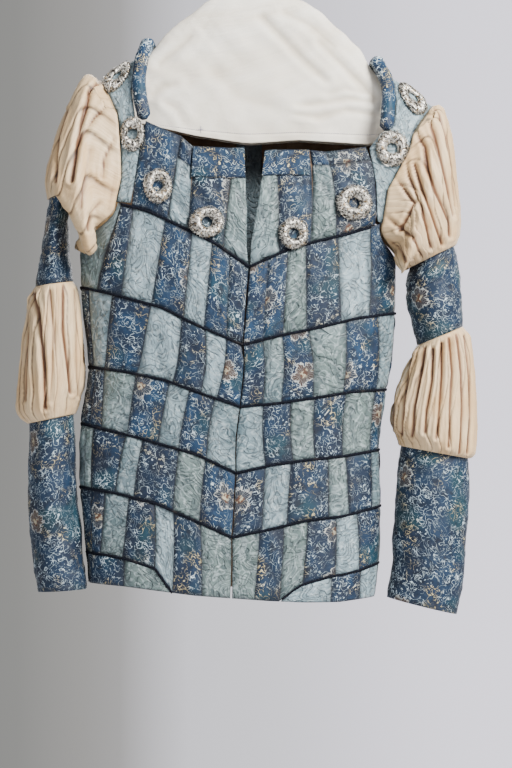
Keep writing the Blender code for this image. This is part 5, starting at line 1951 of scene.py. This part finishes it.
def make_quilted():
    """Light grey-blue self-coloured cloth, embossed with leafy scrolls."""
    n = Nodes("quilted_cloth")
    tone = n.noise(17, 3.0, 0.55)
    base = n.mix(n.between(tone, 0.34, 0.66), (0.105, 0.170, 0.200), (0.235, 0.325, 0.360))
    patch = n.noise(1.9, 0.0, 0.5, at=n.shifted(5.1, 0.6))
    base = n.mix(n.between(patch, 0.50, 0.66, 0.0, 0.6), base, (0.120, 0.160, 0.125))
    base = n.mix(n.between(patch, 0.34, 0.48, 0.55, 0.0), base, (0.34, 0.46, 0.52))
    scroll = n.times(n.curls(36, 3.0, 0.09, 1.8), 0.7)
    leaf = n.times(n.curls(24, 11.0, 0.2, 1.1, at=n.shifted(2.7, 6.6)), 0.62)
    raised = n.between(n.noise(38, 1.0, 0.5, 1.5), 0.42, 0.50)
    groove = n.larger(scroll, n.times(leaf, raised))
    # Painted shade in the grooves of the embossing, stronger in some places than others
    shade_and_wear = n.between(n.noise(75, 3.0, 0.6, at=n.shifted(9.4, 3.1)), 0.35, 0.65, 0.3, 1.0)
    colour = n.mix(n.times(groove, n.times(shade_and_wear, 0.8)), base, (0.022, 0.04, 0.052))
    shine = n.curls(52, 3.0, 0.2, 2.0, at=n.shifted(6.1, 1.2))
    colour = n.tint(colour, (0.47, 0.56, 0.58), shine, 0.42)
    thread = n.noise(1000, 1.0, 0.6)
    colour = n.mix(n.between(thread, 0.3, 0.7, 0.0, 0.22), colour, (0.03, 0.05, 0.06))
    # Dark seam lines with painted shade beside them, painted shade over the placket, then painted shade in
    # folds and hollows
    colour = n.tint(colour, (0.002, 0.004, 0.008), n.value_of("seam"), 0.92)
    colour = n.tint(colour, (0.022, 0.038, 0.048), n.value_of("fold"), 0.6)
    height = n.less(n.noise(95, 2.0, 0.5, 1.0), n.times(groove, 1.2))
    normal = n.bump(thread, 0.4, 0.0004, n.bump(height, 1.0, 0.0028))
    n.finish(colour, 0.5, normal, Sheen_Weight=0.06, Sheen_Roughness=0.5, Specular_IOR_Level=0.5)


def make_silk():
    """Cream silk with pinkish-brown painted shade in its folds, with fine crinkles along the pleats."""
    n = Nodes("silk")
    streak = n.noise(1.0, 3.0, 0.6, 0.3, at=n.scaled((260, 14, 1)))
    warm = n.noise(14, 2.0, 0.5)
    base = n.mix(n.between(warm, 0.35, 0.65), (0.64, 0.435, 0.225), (0.72, 0.545, 0.325))
    base = n.mix(n.between(streak, 0.3, 0.7, 0.0, 0.3), base, (0.42, 0.24, 0.115))
    # Painted shade in the pleats' hollows and creases, and lines of painted shade where the pleats meet
    fold = n.between(n.value_of("fold"), 0.05, 0.85)
    colour = n.tint(base, (0.12, 0.042, 0.018), fold, 0.92)
    colour = n.tint(colour, (0.03, 0.012, 0.007), n.value_of("seam"), 0.95)
    crinkle = n.noise(1.0, 4.0, 0.6, 0.6, at=n.scaled((190, 55, 1)))
    thread = n.noise(1.0, 1.0, 0.5, at=n.scaled((2200, 600, 1)))
    normal = n.bump(thread, 0.2, 0.0003, n.bump(crinkle, 0.5, 0.0022))
    n.finish(colour, 0.48, normal, Sheen_Weight=0.1, Sheen_Roughness=0.35, Specular_IOR_Level=0.4)


def make_calico():
    """Off-white cotton, slightly soiled, with a plain weave."""
    n = Nodes("calico")
    soil = n.noise(9, 4.0, 0.6)
    base = n.mix(n.between(soil, 0.3, 0.7), (0.78, 0.715, 0.60), (0.86, 0.82, 0.73))
    fleck = n.between(n.noise(310, 2.0, 0.6), 0.68, 0.78)
    base = n.tint(base, (0.5, 0.42, 0.3), fleck, 0.25)
    # Painted shade in the creases, in the waves' troughs and over the cover's low part, then painted shade
    # along the side seams
    colour = n.tint(base, (0.5, 0.42, 0.3), n.value_of("fold"), 0.45)
    colour = n.tint(colour, (0.45, 0.38, 0.28), n.value_of("seam"), 0.4)
    rumple = n.noise(42, 3.0, 0.55, 0.6)
    normal = n.bump(weave(n, 0.0007), 0.3, 0.0003, n.bump(rumple, 0.45, 0.0022))
    n.finish(colour, 0.85, normal, Specular_IOR_Level=0.25)


def make_lining():
    """Brown cotton lining."""
    n = Nodes("lining")
    tone = n.noise(22, 3.0, 0.6)
    colour = n.mix(n.between(tone, 0.3, 0.7), (0.11, 0.068, 0.042), (0.19, 0.125, 0.082))
    normal = n.bump(weave(n, 0.0009), 0.4, 0.0004)
    n.finish(colour, 0.85, normal, Specular_IOR_Level=0.2)


def solid_place(nodes):
    """Places in the object's own space, for the pieces with no cloth of their own."""
    nodes.place = nodes.add("ShaderNodeTexCoord").outputs["Object"]
    return nodes


def make_braid():
    """Near-black navy braid with a few lighter threads."""
    n = solid_place(Nodes("braid"))
    thread = n.noise(900, 2.0, 0.6)
    colour = n.mix(n.between(thread, 0.5, 0.72), (0.0015, 0.002, 0.005), (0.014, 0.018, 0.032))
    colour = n.mix(n.between(n.noise(60, 2.0), 0.62, 0.74, 0.0, 0.5), colour, (0.03, 0.025, 0.022))
    n.finish(colour, 0.85, n.bump(thread, 0.6, 0.0005), Specular_IOR_Level=0.12)


def make_silver():
    """Tarnished silver-gilt thread."""
    n = solid_place(Nodes("silver_thread"))
    tone = n.noise(420, 2.0, 0.6)
    colour = n.mix(n.between(tone, 0.42, 0.56), (0.045, 0.042, 0.040), (0.78, 0.75, 0.68))
    colour = n.mix(n.between(n.noise(300, 1.0), 0.58, 0.68, 0.0, 0.6), colour, (0.50, 0.33, 0.14))
    n.finish(colour, 0.3, None, Metallic=0.7)


def make_ring_core():
    """Dull stuffing under the wire."""
    n = solid_place(Nodes("ring_core"))
    speck = n.noise(560, 1.0, 0.6)
    colour = n.mix(n.between(speck, 0.46, 0.56), (0.010, 0.010, 0.012), (0.66, 0.63, 0.56))
    n.finish(colour, 0.4, n.bump(speck, 1.0, 0.0016), Metallic=0.5)


def make_wood():
    n = solid_place(Nodes("wood"))
    grain = n.noise(1.0, 4.0, 0.6, 1.0, at=n.scaled((8, 160, 160)))
    colour = n.mix(n.between(grain, 0.3, 0.7), (0.30, 0.17, 0.08), (0.50, 0.33, 0.19))
    n.finish(colour, 0.45, n.bump(grain, 0.2, 0.0004))


def make_wire():
    n = solid_place(Nodes("steel_wire"))
    mark = n.noise(240, 3.0, 0.6)
    colour = n.mix(n.between(mark, 0.3, 0.7), (0.45, 0.45, 0.46), (0.66, 0.66, 0.67))
    n.finish(colour, n.between(mark, 0.3, 0.7, 0.22, 0.4), n.bump(mark, 0.1, 0.0002), Metallic=1.0)


def make_thread():
    """Purplish-blue sewing thread."""
    n = solid_place(Nodes("thread"))
    colour = n.mix(n.noise(300, 1.0), (0.12, 0.11, 0.26), (0.24, 0.22, 0.42))
    n.finish(colour, 0.7, n.bump(n.noise(1500, 1.0), 0.3, 0.0002))


def make_floor():
    n = solid_place(Nodes("floor"))
    colour = n.mix(n.noise(3, 2.0), (0.60, 0.605, 0.63), (0.63, 0.635, 0.66))
    n.finish(colour, 0.9, None, Specular_IOR_Level=0.1)


def add_stage():
    place = (0, 0, FLOOR_Z)
    bpy.ops.mesh.primitive_circle_add(vertices=96, radius=FLOOR_RADIUS, fill_type="NGON", location=place)
    floor = bpy.context.object
    floor.name = "floor"
    floor.data.materials.append(bpy.data.materials["floor"])
    floor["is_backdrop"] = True
    world = bpy.data.worlds.new("soft_light")
    bpy.context.scene.world = world
    world.use_nodes = True
    tree = world.node_tree
    split = tree.nodes.new("ShaderNodeSeparateXYZ")
    tree.links.new(tree.nodes.new("ShaderNodeTexCoord").outputs["Generated"], split.inputs[0])
    half = tree.nodes.new("ShaderNodeMath")
    half.operation = "MULTIPLY_ADD"
    half.inputs[1].default_value = 0.5
    half.inputs[2].default_value = 0.5
    tree.links.new(split.outputs[0], half.inputs[0])
    ramp = tree.nodes.new("ShaderNodeValToRGB")
    ramp.color_ramp.interpolation = "EASE"
    stops = ramp.color_ramp.elements
    for k, (place, colour) in enumerate(SKY):
        stop = stops[k] if k < 1 else (stops[-1] if k == len(SKY) - 1 else stops.new(place))
        stop.position = place
        stop.color = (*colour, 1)
    tree.links.new(half.outputs[0], ramp.inputs[0])
    tree.links.new(ramp.outputs[0], tree.nodes["Background"].inputs["Color"])
    aim = Vector(LOOK_AT)
    for name, spot, size, power, colour in LIGHTS:
        lamp = bpy.data.lights.new(name, "AREA")
        lamp.size = size
        lamp.energy = power
        lamp.color = colour
        made = bpy.data.objects.new(name, lamp)
        made.location = spot
        made.rotation_euler = (aim - Vector(spot)).to_track_quat("-Z", "Y").to_euler()
        bpy.context.scene.collection.objects.link(made)
    camera = bpy.data.cameras.new("camera")
    camera.sensor_fit = "VERTICAL"
    camera.sensor_height = SENSOR
    camera.lens = SENSOR * CAMERA_AWAY / VIEW_HEIGHT
    made = bpy.data.objects.new("camera", camera)
    made.location = aim - Vector((0, CAMERA_AWAY, 0))
    made.rotation_euler = (math.pi / 2, 0, 0)
    bpy.context.scene.collection.objects.link(made)
    bpy.context.scene.camera = made


MATERIAL_MAKERS = (
    make_brocade,
    make_quilted,
    make_silk,
    make_calico,
    make_lining,
    make_braid,
    make_silver,
    make_ring_core,
    make_wood,
    make_wire,
    make_thread,
    make_floor,
)

for old in list(bpy.data.objects):
    if old.type in ("CAMERA", "LIGHT"):
        bpy.data.objects.remove(old)
for imported in list(bpy.data.materials):
    imported.name = imported.name + "_cad"
for maker in MATERIAL_MAKERS:
    maker()
add_stage()
add_fronts()
add_back()
add_placket()
add_straps()
add_neck_bands()
add_sleeves()
add_neck_rolls()
add_braids()
add_rings()
add_hanger()

[[list(corner) for corner in box] for box in (cad_box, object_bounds())]
